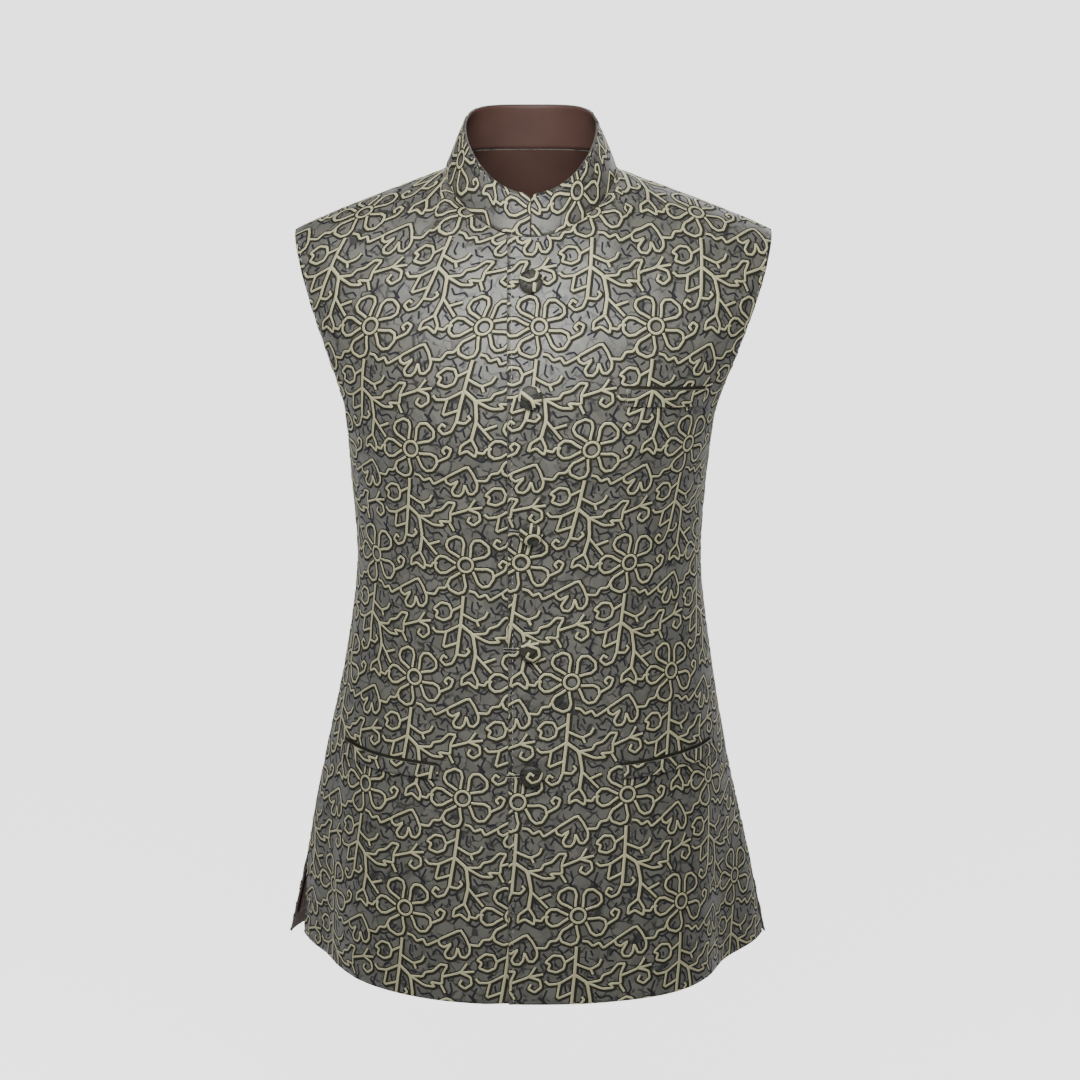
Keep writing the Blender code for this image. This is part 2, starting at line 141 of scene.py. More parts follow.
# What is sewn on. across is a share of the front's width from the centre to the side.
BUTTON_HEIGHTS = (-0.0840, -0.1770, -0.2980, -0.4040, -0.5160)
BUTTON_RADIUS = 0.0104
BUTTON_HEIGHT = 0.0068
SHANK_RADIUS = 0.0030
SHANK_HEIGHT = 0.0016
Welt = namedtuple("Welt", "name panel inner outer top_inner top_outer height")
WELTS = (
    Welt("pocket_welt_right", "front_right", 0.335, 0.795, -0.5110, -0.5115, 0.0120),
    Welt("pocket_welt_left", "front_left", 0.335, 0.795, -0.5110, -0.5115, 0.0120),
    Welt("breast_welt", "front_left", 0.410, 0.825, -0.1720, -0.1805, 0.0150),
)
WELT_CLOTH = 0.0015
LINING_HEM = 0.0180  # the lining stops this far above the hem


def smoothstep(low, high, value):
    share = np.clip((np.asarray(value, float) - low) / (high - low), 0.0, 1.0)
    return share * share * (3.0 - 2.0 * share)


def share_of(column):
    """How far across a panel a column of faces starts, from 0 at the centre to 1 at the side."""
    even = column / COLUMNS
    return (1 - CROWDING) * even + CROWDING * math.sin(even * math.pi / 2)


NECK_SHARE = share_of(NECK_COLUMNS)


def ring_point(ring, turn):
    """A point of a ring round the neck. turn is 0 at the front, half pi at the wearer's left."""
    facing = math.cos(turn)
    depth = ring.front_y if facing > 0 else -ring.back_y
    tilt = (ring.front_z - ring.back_z) / 2
    dip = (ring.front_z + ring.back_z) / 2 - ring.side_z
    rise = ring.side_z + tilt * facing + dip * facing**2
    return np.array((ring.half_width * math.sin(turn), depth * facing, rise))


def section_curve(section, side):
    """Points along a half section, with how far along it each lies."""
    turn = np.radians(np.linspace(0.0, section.wrap, 240))
    out = np.sin(turn) ** (2 / section.flat)
    back = 1.0 - np.cos(turn) ** (2 / section.round)
    x = (section.side_x + side * section.lean) * out / out[-1]
    y = section.middle_y + (section.side_y - section.middle_y) * back / back[-1]
    z = section.middle_z + (section.side_z - section.middle_z) * smoothstep(0.0, 1.0, out / out[-1])
    points = np.stack((x, y, z), axis=1)
    steps = np.linalg.norm(np.diff(points, axis=0), axis=1)
    return points, np.concatenate(([0.0], np.cumsum(steps)))


def along(points, lengths, distance):
    return np.array([np.interp(distance, lengths, points[:, axis]) for axis in range(3)])


def on_section(curve, across):
    """A point of a half section. across is 0 at the centre and 1 at the side, and a negative
    number is that many metres past the centre line."""
    points, lengths = curve
    if across < 0:
        return along(points, lengths, -across) * (-1, 1, 1)
    return along(points, lengths, across * lengths[-1])


def on_top_edge(across, side, at_back):
    """A point of the panel's upper edge: the neckline, then the shoulder seam out to its tip."""
    if across < 0:
        turn = math.asin(-across / NECKLINE.half_width)
        return on_top_edge(turn / (math.pi / 2) * NECK_SHARE, side, at_back) * (-1, 1, 1)
    if across <= NECK_SHARE:
        turn = across / NECK_SHARE * math.pi / 2
        return ring_point(NECKLINE, math.pi - turn if at_back else turn)
    share = (across - NECK_SHARE) / (1 - NECK_SHARE)
    tip = SHOULDER_TIP + (side * SHOULDER_LEAN, 0, 0)
    point = ring_point(NECKLINE, math.pi / 2) * (1 - share) + tip * share
    return point - (0, 0, SHOULDER_ROUND * (share**6 - share))


def top_slope(across, at_back):
    """Which way the cloth runs where it meets the neckline or goes over the shoulder."""
    inward = -1.0 if at_back else 1.0
    neck = np.array((0.0, 0.40 * inward, 0.92))
    shoulder = np.array((0.0, inward, 0.05))
    over = math.sin(min(max(across, 0.0) / NECK_SHARE, 1.0) * math.pi / 2) ** 2
    slope = neck * (1 - over) + shoulder * over
    return slope / np.linalg.norm(slope)


def loft(sections, side, at_back, across, ups):
    """The panel's points: a row for each of ups, in sections from the hem, a column for each across."""
    curves = [section_curve(section, side) for section in sections]
    rows = [[on_section(curve, share) for share in across] for curve in curves]
    rows.append([on_top_edge(share, side, at_back) for share in across])
    rows = np.array(rows)
    knots = np.array([[on_section(curve, share) for share in (0.0, 0.5, 1.0)] for curve in curves])
    top = np.array([[on_top_edge(share, side, at_back) for share in (0.0, 0.5, 1.0)]])
    strides = np.linalg.norm(np.diff(np.concatenate((knots, top)), axis=0), axis=2).mean(axis=1)
    slopes = np.diff(rows, axis=0) / strides[:, None, None]
    into = np.empty_like(rows)
    into[0] = slopes[0]
    for k in range(1, len(rows) - 1):
        before, after = strides[k - 1], strides[k]
        into[k] = (after * slopes[k - 1] + before * slopes[k]) / (before + after)
    for column, share in enumerate(across):
        pull = np.linalg.norm(slopes[-1, column])
        into[-1, column] = top_slope(share, at_back) * pull * 1.25
    out_of = into.copy()
    # At the side, the seam runs straight into the underarm and the armhole turns off from it.
    turned = np.clip(across, 0, 1)[:, None] ** 10
    into[UNDERARM] = into[UNDERARM] * (1 - turned) + slopes[UNDERARM - 1] * turned
    leaving = np.array((0.0, 1.0 if at_back else -1.0, 0.12)) * 1.1
    out_of[UNDERARM] = out_of[UNDERARM] * (1 - turned) + leaving * turned
    grid = []
    for up in ups:
        k = min(int(up), len(rows) - 2)
        t = up - k
        stride = strides[k]
        grid.append(
            rows[k] * (2 * t**3 - 3 * t**2 + 1)
            + out_of[k] * stride * (t**3 - 2 * t**2 + t)
            + rows[k + 1] * (3 * t**2 - 2 * t**3)
            + into[k + 1] * stride * (t**3 - t**2)
        )
    return np.array(grid)


def normals_of(grid, facing):
    """Unit normals of a grid of points. facing is 1 where columns by rows point out of the body."""
    across = np.gradient(grid, axis=1)
    up = np.gradient(grid, axis=0)
    normals = np.cross(across, up) * facing
    return normals / np.linalg.norm(normals, axis=2, keepdims=True)


def fold_depth(panel, across, heights):
    """How far the panel's soft folds move each point out."""
    depth = np.zeros_like(heights)
    for fold in FOLDS:
        if fold.panel != panel:
            continue
        grown = smoothstep(fold.top_z, FRONT[0].middle_z, heights)
        grown = np.where(heights < fold.top_z, grown, 0.0)
        depth += fold.depth * np.exp(-(((across - fold.at) / fold.spread) ** 2)) * grown
    return depth


def half_panel(panel, across, ups):
    """Points and outward normals of one front, or of one half of the back."""
    at_back = panel.startswith("back")
    side = 1 if panel.endswith("left") else -1
    across = np.asarray(across, float)
    grid = loft(BACK if at_back else FRONT, side, at_back, across, ups)
    normals = normals_of(grid, -1 if at_back else 1)
    grid = grid + normals * fold_depth(panel, across[None, :], grid[:, :, 2])[:, :, None]
    if panel == "front_right":
        tucked = 1.0 - smoothstep(LAP, TUCK_ENDS, grid[:, :, 0])
        grid = grid - normals * ((CLOTH + LAYER_GAP) * tucked)[:, :, None]
    return grid * (side, 1, 1), normals * (side, 1, 1)


# The fine cloth.
CELL = 0.004
NECK_STEPS = 36  # columns of fine cells from the centre line to the neck's corner
SHOULDER_STEPS = 44  # and from there to the side
TOP_STEPS = 28  # rows of fine cells over the shoulder
COLLAR_STEPS = 32  # round a quarter of the collar
COLLAR_ROWS = 12
WELT_STEPS = 45  # along a welt
WELT_ROWS = 8
WELT_PLUMP = 0.0003  # how far a welt's fold swells
LINING_TOP = 0.86  # of the back's fine rows, where its lining ends
LINING_SPACING = 1.5  # fine cells of the back to one of its lining
CREASE_END = 0.35  # of a crease's depth, left at its two ends
EDGE_SOFTEN = 0.12  # of a wall, that its edge drops as it rounds over
EDGE_PROUD = 0.4  # of a seam's gap, that the middle of the edge stands out
FLAT_STEP = 4  # fine cells to one cell of the grid that is laid flat
FLAT_ROUNDS = 250
SEARCH_STEP = 6  # fine cells between the first guesses of where a point of the cut lies
SEARCH_BATCH = 4000  # points that are guessed at once
SEARCH_ROUNDS = 10
SEARCH_REACH = 8  # the most cells that one round moves a point
SEAM_SINK = 0.0002  # how far a seamed edge rolls in

# Small creases, in metres on the cut: out from the centre line and up from the hem. depth is out
# of the body, or in where it is negative.
Crease = namedtuple("Crease", "panel from_out from_up to_out to_up width depth")
CREASES = (
    Crease("front_left", 0.236, 0.462, 0.118, 0.398, 0.012, -0.0017),
    Crease("front_left", 0.228, 0.432, 0.150, 0.352, 0.010, -0.0012),
    Crease("front_left", 0.014, 0.512, 0.086, 0.536, 0.009, -0.0009),
    Crease("front_left", 0.012, 0.404, 0.074, 0.384, 0.010, -0.0010),
    Crease("front_left", 0.096, 0.330, 0.196, 0.296, 0.014, -0.0015),
    Crease("front_left", 0.172, 0.262, 0.196, 0.020, 0.020, 0.0022),
    Crease("front_left", 0.082, 0.196, 0.076, 0.006, 0.022, -0.0019),
    Crease("front_left", 0.238, 0.180, 0.252, 0.012, 0.016, -0.0018),
    Crease("front_left", 0.076, 0.664, 0.116, 0.596, 0.012, -0.0012),
    Crease("front_left", 0.150, 0.640, 0.184, 0.560, 0.012, 0.0010),
    Crease("front_right", 0.230, 0.470, 0.128, 0.412, 0.011, -0.0016),
    Crease("front_right", 0.222, 0.438, 0.164, 0.372, 0.012, -0.0013),
    Crease("front_right", 0.034, 0.520, 0.104, 0.548, 0.010, -0.0010),
    Crease("front_right", 0.036, 0.398, 0.088, 0.372, 0.011, -0.0011),
    Crease("front_right", 0.108, 0.318, 0.206, 0.306, 0.013, -0.0016),
    Crease("front_right", 0.154, 0.240, 0.168, 0.016, 0.022, 0.0023),
    Crease("front_right", 0.216, 0.214, 0.236, 0.010, 0.018, -0.0020),
    Crease("front_right", 0.070, 0.150, 0.062, 0.008, 0.020, -0.0015),
    Crease("front_right", 0.080, 0.668, 0.112, 0.610, 0.011, -0.0011),
    Crease("back_left", 0.226, 0.478, 0.110, 0.420, 0.012, -0.0018),
    Crease("back_left", 0.216, 0.440, 0.126, 0.356, 0.013, -0.0014),
    Crease("back_left", 0.190, 0.640, 0.120, 0.560, 0.013, -0.0013),
    Crease("back_left", 0.040, 0.340, 0.146, 0.312, 0.015, -0.0018),
    Crease("back_left", 0.118, 0.250, 0.136, 0.014, 0.024, 0.0024),
    Crease("back_left", 0.206, 0.206, 0.228, 0.010, 0.018, -0.0021),
    Crease("back_right", 0.230, 0.468, 0.122, 0.400, 0.012, -0.0017),
    Crease("back_right", 0.196, 0.632, 0.136, 0.548, 0.012, -0.0014),
    Crease("back_right", 0.206, 0.420, 0.140, 0.340, 0.012, -0.0012),
    Crease("back_right", 0.052, 0.328, 0.158, 0.296, 0.014, -0.0016),
    Crease("back_right", 0.098, 0.232, 0.106, 0.010, 0.022, 0.0022),
    Crease("back_right", 0.180, 0.222, 0.204, 0.012, 0.020, -0.0020),
    Crease("back_left", 0.004, 0.700, 0.004, 0.600, 0.012, -0.0008),
)

# The brocade: one motif to a cell, every other row of cells half a cell across. Lines are drawn in
# millimetres from the middle of the flower, x to the right and y up.
CELL_WIDTH = 0.0985
ROW_RISE = 0.1052
RING_RADIUS = 6.6
RING_SIDES = 14
Petal = namedtuple("Petal", "turn length breadth")
PETALS = (
    Petal(116, 1.00, 1.00),
    Petal(48, 0.98, 1.06),
    Petal(-34, 1.02, 0.98),
    Petal(-115, 1.00, 1.02),
    Petal(181, 1.04, 0.94),
)
PETAL_SIDE = ((8.6, 1.6), (13.0, 4.4), (17.6, 7.7), (23.0, 8.3), (27.2, 4.2))
Line = namedtuple("Line", "thread closed points")
LINES = (
    Line("stem", False, ((-2.5, -28), (-3.6, -40), (-5, -54), (-7, -68), (-8.5, -80))),
    Line("vine", False, ((-3.8, -37), (-13, -42))),
    Line("vine", True, ((-13, -42), (-16, -36), (-23.5, -35), (-30.5, -41), (-26.5, -43.5),
                        (-28.5, -48.5), (-21, -51), (-14.5, -48))),
    Line("vine", False, ((-4, -44), (9, -50.5), (17, -47), (19.5, -42))),
    Line("vine", False, ((9.5, -50.5), (11.5, -55))),
    Line("vine", False, ((3, -23.5), (8, -24.5), (12, -29), (18, -26.5), (21.5, -32), (32, -26))),
    Line("vine", True, ((32, -25.5), (52, -14.5), (57, -21.5), (61, -30.5), (60.5, -36), (57, -40),
                        (53, -39.5), (49.8, -31.5), (48.3, -38.5), (45, -42), (40, -41.5), (38, -37.5),
                        (44, -28), (37.5, -32), (33.5, -30))),
    Line("vine", False, ((60, -27.5), (69, -28), (72.5, -22), (79, -21.5), (83, -14.5))),
    Line("vine", False, ((-5, -54), (-19, -61.5), (-28, -62), (-31.5, -58.5))),
    Line("vine", False, ((-18.5, -61.5), (-21.5, -75.5), (-8, -70.5))),
    Line("vine", False, ((-8.5, -81), (-1, -82), (3, -78), (0.5, -75))),
    Line("vine", False, ((-8.5, -80), (-12.5, -89), (-19, -91.5), (-24, -87), (-21, -82.5),
                         (-17.5, -85))),
    Line("stem", False, ((-5, -54), (6, -62.5), (8.5, -80), (5.5, -95.5))),
    Line("vine", False, ((6, -62.5), (18, -61.5), (20.5, -57), (28, -55), (34.5, -48), (41, -48.5),
                         (36.5, -57.5), (36.5, -66), (26, -65.5), (29.5, -69.5), (20, -69.5), (6, -62.5))),
    Line("vine", False, ((37.5, -59), (53, -54), (59, -45))),
    Line("vine", False, ((53, -54), (65.5, -52))),
    Line("vine", False, ((53, -54), (62.5, -57.5), (63.5, -64), (57.5, -68.5), (52, -65), (54.5, -60.5))),
    Line("vine", False, ((35.5, -67), (39.5, -74))),
    Line("vine", True, ((5.5, -95.5), (-3.5, -101.5), (-4.5, -108.5), (2, -105.5), (9.5, -111),
                        (10.5, -104.5))),
    Line("vine", False, ((8.5, -81), (22.5, -96.5))),
    Line("vine", False, ((14.5, -88), (26, -84))),
    Line("vine", False, ((10.8, -107), (16.5, -108), (18.5, -104.5), (23, -104.5))),
    Line("vine", False, ((24, -11.5), (35, -6), (37.5, 0.5), (33, 3), (29.5, -0.5), (32, -3.5))),
)
# Short dark lines that wander over the ground between the vines.
CRACKS = (
    ((-34, 11), (-39, 16), (-37, 22), (-41, 27)), ((31, 15), (37, 19), (44, 16), (49, 20)),
    ((42, 31), (45, 37), (41, 43)), ((-15, -25), (-22, -28), (-30, -24)),
    ((6, -33), (5, -41), (8, -44)), ((22, -38), (25, -44), (31, -45)),
    ((-33, -52), (-39, -49), (-46, -53)), ((-14, -64), (-13, -70)),
    ((-30, -67), (-34, -76), (-30, -81)), ((13, -72), (17, -78), (25, -76), (29, -80)),
    ((44, -64), (46, -72), (42, -78), (47, -84)), ((-3, -86), (0, -94)),
    ((-37, -24), (-43, -31), (-41, -37)), ((50, -3), (45, -10)), ((53, 4), (51, 11), (57, 15)),
    ((-25, -98), (-31, -94), (-38, -98)), ((61, -74), (67, -79), (66, -86)),
    ((-14, -97), (-18, -104), (-15, -109)), ((22, -24), (29, -22), (33, -26)),
    ((50, -30), (51, -25)), ((-22, -42), (-21, -46)), ((2, -46), (1, -53)), ((6, -57), (12, -58.5)),
    ((12, -38), (10, -33)), ((27, -40), (31, -34), (38, -41), (44, -43)), ((23, -52), (30, -50)),
    ((66, -33), (70, -38), (68, -46), (74, -51)), ((79, -28), (84, -34), (82, -40)),
    ((-2, -64), (2, -70), (0, -78)), ((-30, -50), (-36, -57), (-33, -63)), ((-16, -54), (-21, -57)),
    ((14, -95), (20, -101), (28, -99), (33, -103)), ((-9, -92), (-7, -99)), ((44, -54), (42, -62)),
    ((33, -79), (40, -84), (38, -91), (44, -96)), ((-13, -33), (-9, -30)),
    ((14, 20), (16, 27), (12, 31)), ((-3, 22), (-5, 29), (-10, 31)), ((29, 3), (26, 8), (30, 13)),
    ((-28, -6), (-33, -11), (-40, -8)), ((-24, 19), (-30, 22)), ((17, -14), (19, -19)),
    ((-8, -17), (-12, -21)), ((12, 11), (17, 15)), ((-15, 3), (-20, 1)),
    ((40, -8), (47, -4), (44, 3)), ((49, -21), (52, -27)),
)
# shadow is the width of the dark ribbon under a gold line: partly a woven outline, partly a painted drop
# shadow.
Thread = namedtuple("Thread", "width height shadow")
THREADS = {
    "petal": Thread(0.0023, 0.00036, 0.0056),
    "stem": Thread(0.0029, 0.00040, 0.0064),
    "vine": Thread(0.0022, 0.00034, 0.0054),
    "crackle": Thread(0.0017, 0.00008, 0.0),
}
SHADOW_SHIFT = np.array((0.00050, -0.00055))  # painted drop shadow: the dark outline is shifted so that it shows more below and to the right, as if lit from the upper left
SHADOW_HEIGHT = 0.00012
GROUND_LIFT = 0.00003
LAYER_STEP = 0.000012  # each line lies this much higher than the one before, over this many layers
LAYERS = 6
EDGE_SHARE = 0.06  # of a fine cell, kept clear of the figure along the cloth's edges
LONGEST_STEP = 0.0036  # between two points along a line
CORNER = 0.13  # of a line's stretch, cut off at each corner

# Where a flower stands on each cut, from the centre line and the hem. lean is how far the grain runs
# off sideways for each metre up, and drift how it bends off above a height: the wearer's right front
# is cut a little off the straight.
Repeat = namedtuple("Repeat", "out up lean drift drift_from", defaults=(0.0, 0.0, 0.32))
REPEATS = {
    "front_left": Repeat(0.0445, 0.0800, 0.015),
    "front_right": Repeat(-0.1175, 0.0800, 0.0, 0.395),
    "back": Repeat(0.0000, 0.0700),
    "collar": Repeat(0.0480, 0.0240),
    "breast_welt": Repeat(0.0480, 0.0800, 0.015),
    "pocket_welt_left": Repeat(0.0230, 0.0900, 0.015),
    "pocket_welt_right": Repeat(-0.0900, 0.0660),
}

Cloth = namedtuple("Cloth", "name points normals cut facing")


# ---- The fine panels ----


def fine_across(past_centre):
    """Columns of the fine cloth: even steps to the neck's corner, then even steps to the side."""
    lap = -np.arange(past_centre, CELL / 2, -CELL)
    inner = np.linspace(0.0, NECK_SHARE, NECK_STEPS + 1)[:-1]
    outer = np.linspace(NECK_SHARE, 1.0 - SIDE_TRIM, SHOULDER_STEPS + 1)
    return np.concatenate((lap, inner, outer))


def fine_ups():
    """Rows of the fine cloth, in sections from the hem. They crowd over the shoulder."""
    heights = [section.middle_z for section in FRONT]
    ups = []
    for k, (low, high) in enumerate(zip(heights, heights[1:])):
        steps = round((high - low) / CELL)
        ups += [k + step / steps for step in range(steps)]
    ups += [k + 1 + math.sin(turn) for turn in np.linspace(0.0, math.pi / 2, TOP_STEPS + 1)]
    ups[-1] -= TOP_TRIM
    return ups


def every(count, step):
    """Every step-th index, with the last."""
    return sorted({*range(0, count, step), count - 1})


def flattened(points):
    """The grid laid flat with every length between neighbours kept: how the panel was cut."""
    rows, columns = points.shape[:2]
    index = np.arange(rows * columns).reshape(rows, columns)
    links = (
        (index[:, 1:], index[:, :-1]),
        (index[1:], index[:-1]),
        (index[1:, 1:], index[:-1, :-1]),
        (index[1:, :-1], index[:-1, 1:]),
    )
    ends = np.concatenate([np.stack((a.ravel(), b.ravel()), axis=1) for a, b in links])
    solid = points.reshape(-1, 3)
    lengths = np.linalg.norm(solid[ends[:, 0]] - solid[ends[:, 1]], axis=1)
    start = np.zeros((rows, columns, 2))
    start[:, 1:, 0] = np.cumsum(np.linalg.norm(np.diff(points, axis=1), axis=2), axis=1)
    rises = np.linalg.norm(np.diff(points, axis=0), axis=2).mean(axis=1)
    start[1:, :, 1] = np.cumsum(rises)[:, None]
    flat = start.reshape(-1, 2)
    ties = np.zeros((rows * columns, rows * columns))
    for one, other in ((0, 1), (1, 0)):
        np.add.at(ties, (ends[:, one], ends[:, one]), 1.0)
        np.add.at(ties, (ends[:, one], ends[:, other]), -1.0)
    spread = np.linalg.inv(ties[1:, 1:])
    for _ in range(FLAT_ROUNDS):
        link = flat[ends[:, 0]] - flat[ends[:, 1]]
        link *= (lengths / np.linalg.norm(link, axis=1))[:, None]
        pull = np.zeros_like(flat)
        np.add.at(pull, ends[:, 0], link)
        np.add.at(pull, ends[:, 1], -link)
        flat[0] = 0.0
        flat[1:] = spread @ pull[1:]
    return flat.reshape(rows, columns, 2)


def blended(grid, rows, columns):
    """The grid's values at rows and columns with fractions."""
    row = np.clip(np.floor(rows).astype(int), 0, grid.shape[0] - 2)
    column = np.clip(np.floor(columns).astype(int), 0, grid.shape[1] - 2)
    up = (rows - row)[..., None]
    out = (columns - column)[..., None]
    low = grid[row, column] * (1 - out) + grid[row, column + 1] * out
    high = grid[row + 1, column] * (1 - out) + grid[row + 1, column + 1] * out
    return low * (1 - up) + high * up


def cut_of(points, centre):
    """Cut coordinates of a fine panel: metres from the centre line, and up from the hem."""
    rows = every(points.shape[0], FLAT_STEP)
    columns = every(points.shape[1], FLAT_STEP)
    flat = flattened(points[np.ix_(rows, columns)])
    at_rows = np.interp(np.arange(points.shape[0]), rows, np.arange(len(rows)))
    at_columns = np.interp(np.arange(points.shape[1]), columns, np.arange(len(columns)))
    cut = blended(flat, *np.meshgrid(at_rows, at_columns, indexing="ij"))
    foot = cut[0, centre]
    grain = cut[-1, centre] - foot
    grain /= np.linalg.norm(grain)
    return (cut - foot) @ np.array(((grain[1], grain[0]), (-grain[0], grain[1])))


def creased(panel, points, normals, cut):
    """The points of a half panel, moved by its small creases."""
    depth = np.zeros(cut.shape[:2])
    place = np.stack((np.abs(cut[..., 0]), cut[..., 1]), axis=-1)
    for crease in CREASES:
        if crease.panel != panel:
            continue
        start = np.array((crease.from_out, crease.from_up))
        run = np.array((crease.to_out, crease.to_up)) - start
        share = np.clip((place - start) @ run / (run @ run), 0.0, 1.0)
        away = np.linalg.norm(place - start - share[..., None] * run, axis=-1)
        thin = CREASE_END + (1 - CREASE_END) * np.sin(share * math.pi)
        depth += crease.depth * thin * np.exp(-((away / crease.width) ** 2))
    return points + normals * depth[..., None]


def front_cloth(panel):
    across = fine_across(LAP)
    points, normals = half_panel(panel, across, fine_ups())
    cut = cut_of(points, int(np.argmin(np.abs(across))))
    side = 1 if panel == "front_left" else -1
    cut = cut * (side, 1)
    points = creased(panel, points, normals, cut)
    points[:, -1] -= normals[:, -1] * SEAM_SINK
    points[-1] -= normals[-1] * SEAM_SINK
    return Cloth(panel, points, normals, cut, side)


def back_cloth():
    """The back in one piece, from the wearer's right side to the left."""
    halves = [half_panel(panel, fine_across(0.0), fine_ups()) for panel in BACK_HALVES]
    points, normals = [np.concatenate((a[:, :0:-1], b), axis=1) for a, b in zip(*halves)]
    middle = points.shape[1] // 2
    cut = cut_of(points, middle) * (-1, 1)
    right = creased("back_right", points[:, :middle], normals[:, :middle], cut[:, :middle])
    left = creased("back_left", points[:, middle:], normals[:, middle:], cut[:, middle:])
    points = np.concatenate((right, left), axis=1)
    for edge in ((slice(None), 0), (slice(None), -1), (-1, slice(None))):
        points[edge] -= normals[edge] * SEAM_SINK
    return Cloth("back", points, normals, cut, -1)


def lining_cloth(back):
    """The back's lining, a layer in from the back, and short of its hem, sides and neck."""
    last_row = round(back.points.shape[0] * LINING_TOP)
    rows = np.arange(round(LINING_HEM / CELL), last_row, LINING_SPACING)
    columns = np.arange(2.0, back.points.shape[1] - 2.5, LINING_SPACING)
    at = np.meshgrid(rows, columns, indexing="ij")
    points, normals, cut = [blended(grid, *at) for grid in (back.points, back.normals, back.cut)]
    ease = 0.00035 * np.sin(cut[..., 0] * 260.0 + 2.0 * np.sin(cut[..., 1] * 31.0))
    ease *= smoothstep(0.10, 0.02, cut[..., 1])
    depth = CLOTH + LAYER_GAP + ease
    return Cloth("lining_back", points - normals * depth[..., None], normals, cut, -1)


def collar_cloth():
    """The stand collar, from centre front round the wearer's left to centre front."""
    quarter = list(np.linspace(0.0, math.pi / 2, COLLAR_STEPS + 1))
    half = quarter + [math.pi - turn for turn in quarter[-2::-1]]
    seam_turns = half + [2 * math.pi - turn for turn in half[-2::-1]]
    first = SEAM_GAP / COLLAR_TOP.half_width
    corner = [first] + [quarter[1] * share for share in (0.25, 0.50, 0.75)]
    turns = corner + seam_turns[1:-1] + [2 * math.pi - turn for turn in corner[::-1]]
    grid = []
    for share in np.linspace(0.0, 1.0, COLLAR_ROWS + 1):
        row = []
        for turn in turns:
            low = ring_point(NECKLINE, turn)
            high = ring_point(COLLAR_TOP, turn)
            rise = (high - low) / np.linalg.norm(high - low)
            low = low + rise * SEAM_GAP
            from_end = COLLAR_TOP.half_width * (min(turn, 2 * math.pi - turn) - first)
            short = min(max(COLLAR_CORNER - from_end, 0.0), COLLAR_CORNER)
            high = high - rise * (COLLAR_CORNER - math.sqrt(COLLAR_CORNER**2 - short**2))
            out = np.array((math.sin(turn), -math.cos(turn), 0.0))
            bulge = math.sin(share * math.pi) * COLLAR_BULGE - SEAM_SINK * (1 - share) ** 8
            row.append(low * (1 - share) + high * share + out * bulge)
        grid.append(row)
    points = np.array(grid)
    middle = points[len(points) // 2]
    around = np.concatenate(([0.0], np.cumsum(np.linalg.norm(np.diff(middle, axis=0), axis=1))))
    rises = np.linalg.norm(np.diff(points, axis=0), axis=2)
    heights = np.concatenate((np.zeros((1, len(turns))), np.cumsum(rises, axis=0)))
    cut = np.stack((np.broadcast_to(around, heights.shape), heights), axis=-1)
    return Cloth("collar", points, normals_of(points, 1), cut, 1)


def column_of(front, share):
    """The column, with a fraction, at this share of a front's width."""
    across = fine_across(LAP)
    return np.interp(share, across, np.arange(len(across)))


def row_at(front, column, height):
    """The row, with a fraction, where a column reaches this height."""
    rows = np.arange(front.points.shape[0], dtype=float)
    heights = blended(front.points[..., 2:], rows, np.full_like(rows, column))[..., 0]
    return np.interp(height, heights, rows)


def welt_cloth(welt, front):
    """A strip that lies on its front, with a soft fold along its top."""
    ends = column_of(front, welt.inner), column_of(front, welt.outer)
    columns = np.linspace(*ends, WELT_STEPS + 1)
    tops = np.linspace(welt.top_inner, welt.top_outer, len(columns))
    drops = np.linspace(1.0, 0.0, WELT_ROWS + 1)
    at_rows = [[row_at(front, column, top - welt.height * drop) for column, top in zip(columns, tops)]
               for drop in drops]
    at = np.array(at_rows), np.broadcast_to(columns, (len(drops), len(columns)))
    points, normals, cut = [blended(grid, *at) for grid in (front.points, front.normals, front.cut)]
    plump = WELT_PLUMP * np.sin(np.linspace(0.0, math.pi, len(drops))) ** 0.5
    lift = LAYER_GAP + WELT_CLOTH + plump[:, None, None]
    return Cloth(welt.name, points + normals * lift, normals, cut, front.facing)


# ---- Meshes ----


def add_mesh(name, points, faces, materials, slots=None, cut=None, smooth=True):
    """An object of quads. cut gives every point its place on the flat cloth, as a UV map."""
    mesh = bpy.data.meshes.new(name)
    faces = np.asarray(faces, np.int32)
    mesh.vertices.add(len(points))
    mesh.vertices.foreach_set("co", np.asarray(points, np.float32).ravel())
    mesh.loops.add(faces.size)
    mesh.loops.foreach_set("vertex_index", faces.ravel())
    mesh.polygons.add(len(faces))
    mesh.polygons.foreach_set("loop_start", np.arange(len(faces), dtype=np.int32) * faces.shape[1])
    for material in materials:
        mesh.materials.append(material)
    if slots is not None:
        mesh.polygons.foreach_set("material_index", np.asarray(slots, np.int32))
    mesh.update(calc_edges=True)
    mesh.validate()
    if cut is not None:
        layer = mesh.uv_layers.new(name="cut")
        layer.uv.foreach_set("vector", np.asarray(cut, np.float32)[faces.ravel()].ravel())
    mesh.polygons.foreach_set("use_smooth", np.full(len(mesh.polygons), smooth))
    piece = bpy.data.objects.new(name, mesh)
    bpy.context.scene.collection.objects.link(piece)
    return piece


def grid_faces(rows, columns):
    index = np.arange(rows * columns).reshape(rows, columns)
    corners = (index[:-1, :-1], index[:-1, 1:], index[1:, 1:], index[1:, :-1])
    return np.stack([corner.ravel() for corner in corners], axis=1)


def rim_of(rows, columns):
    index = np.arange(rows * columns).reshape(rows, columns)
    return np.concatenate((index[0, :-1], index[:-1, -1], index[-1, :0:-1], index[:0:-1, 0]))


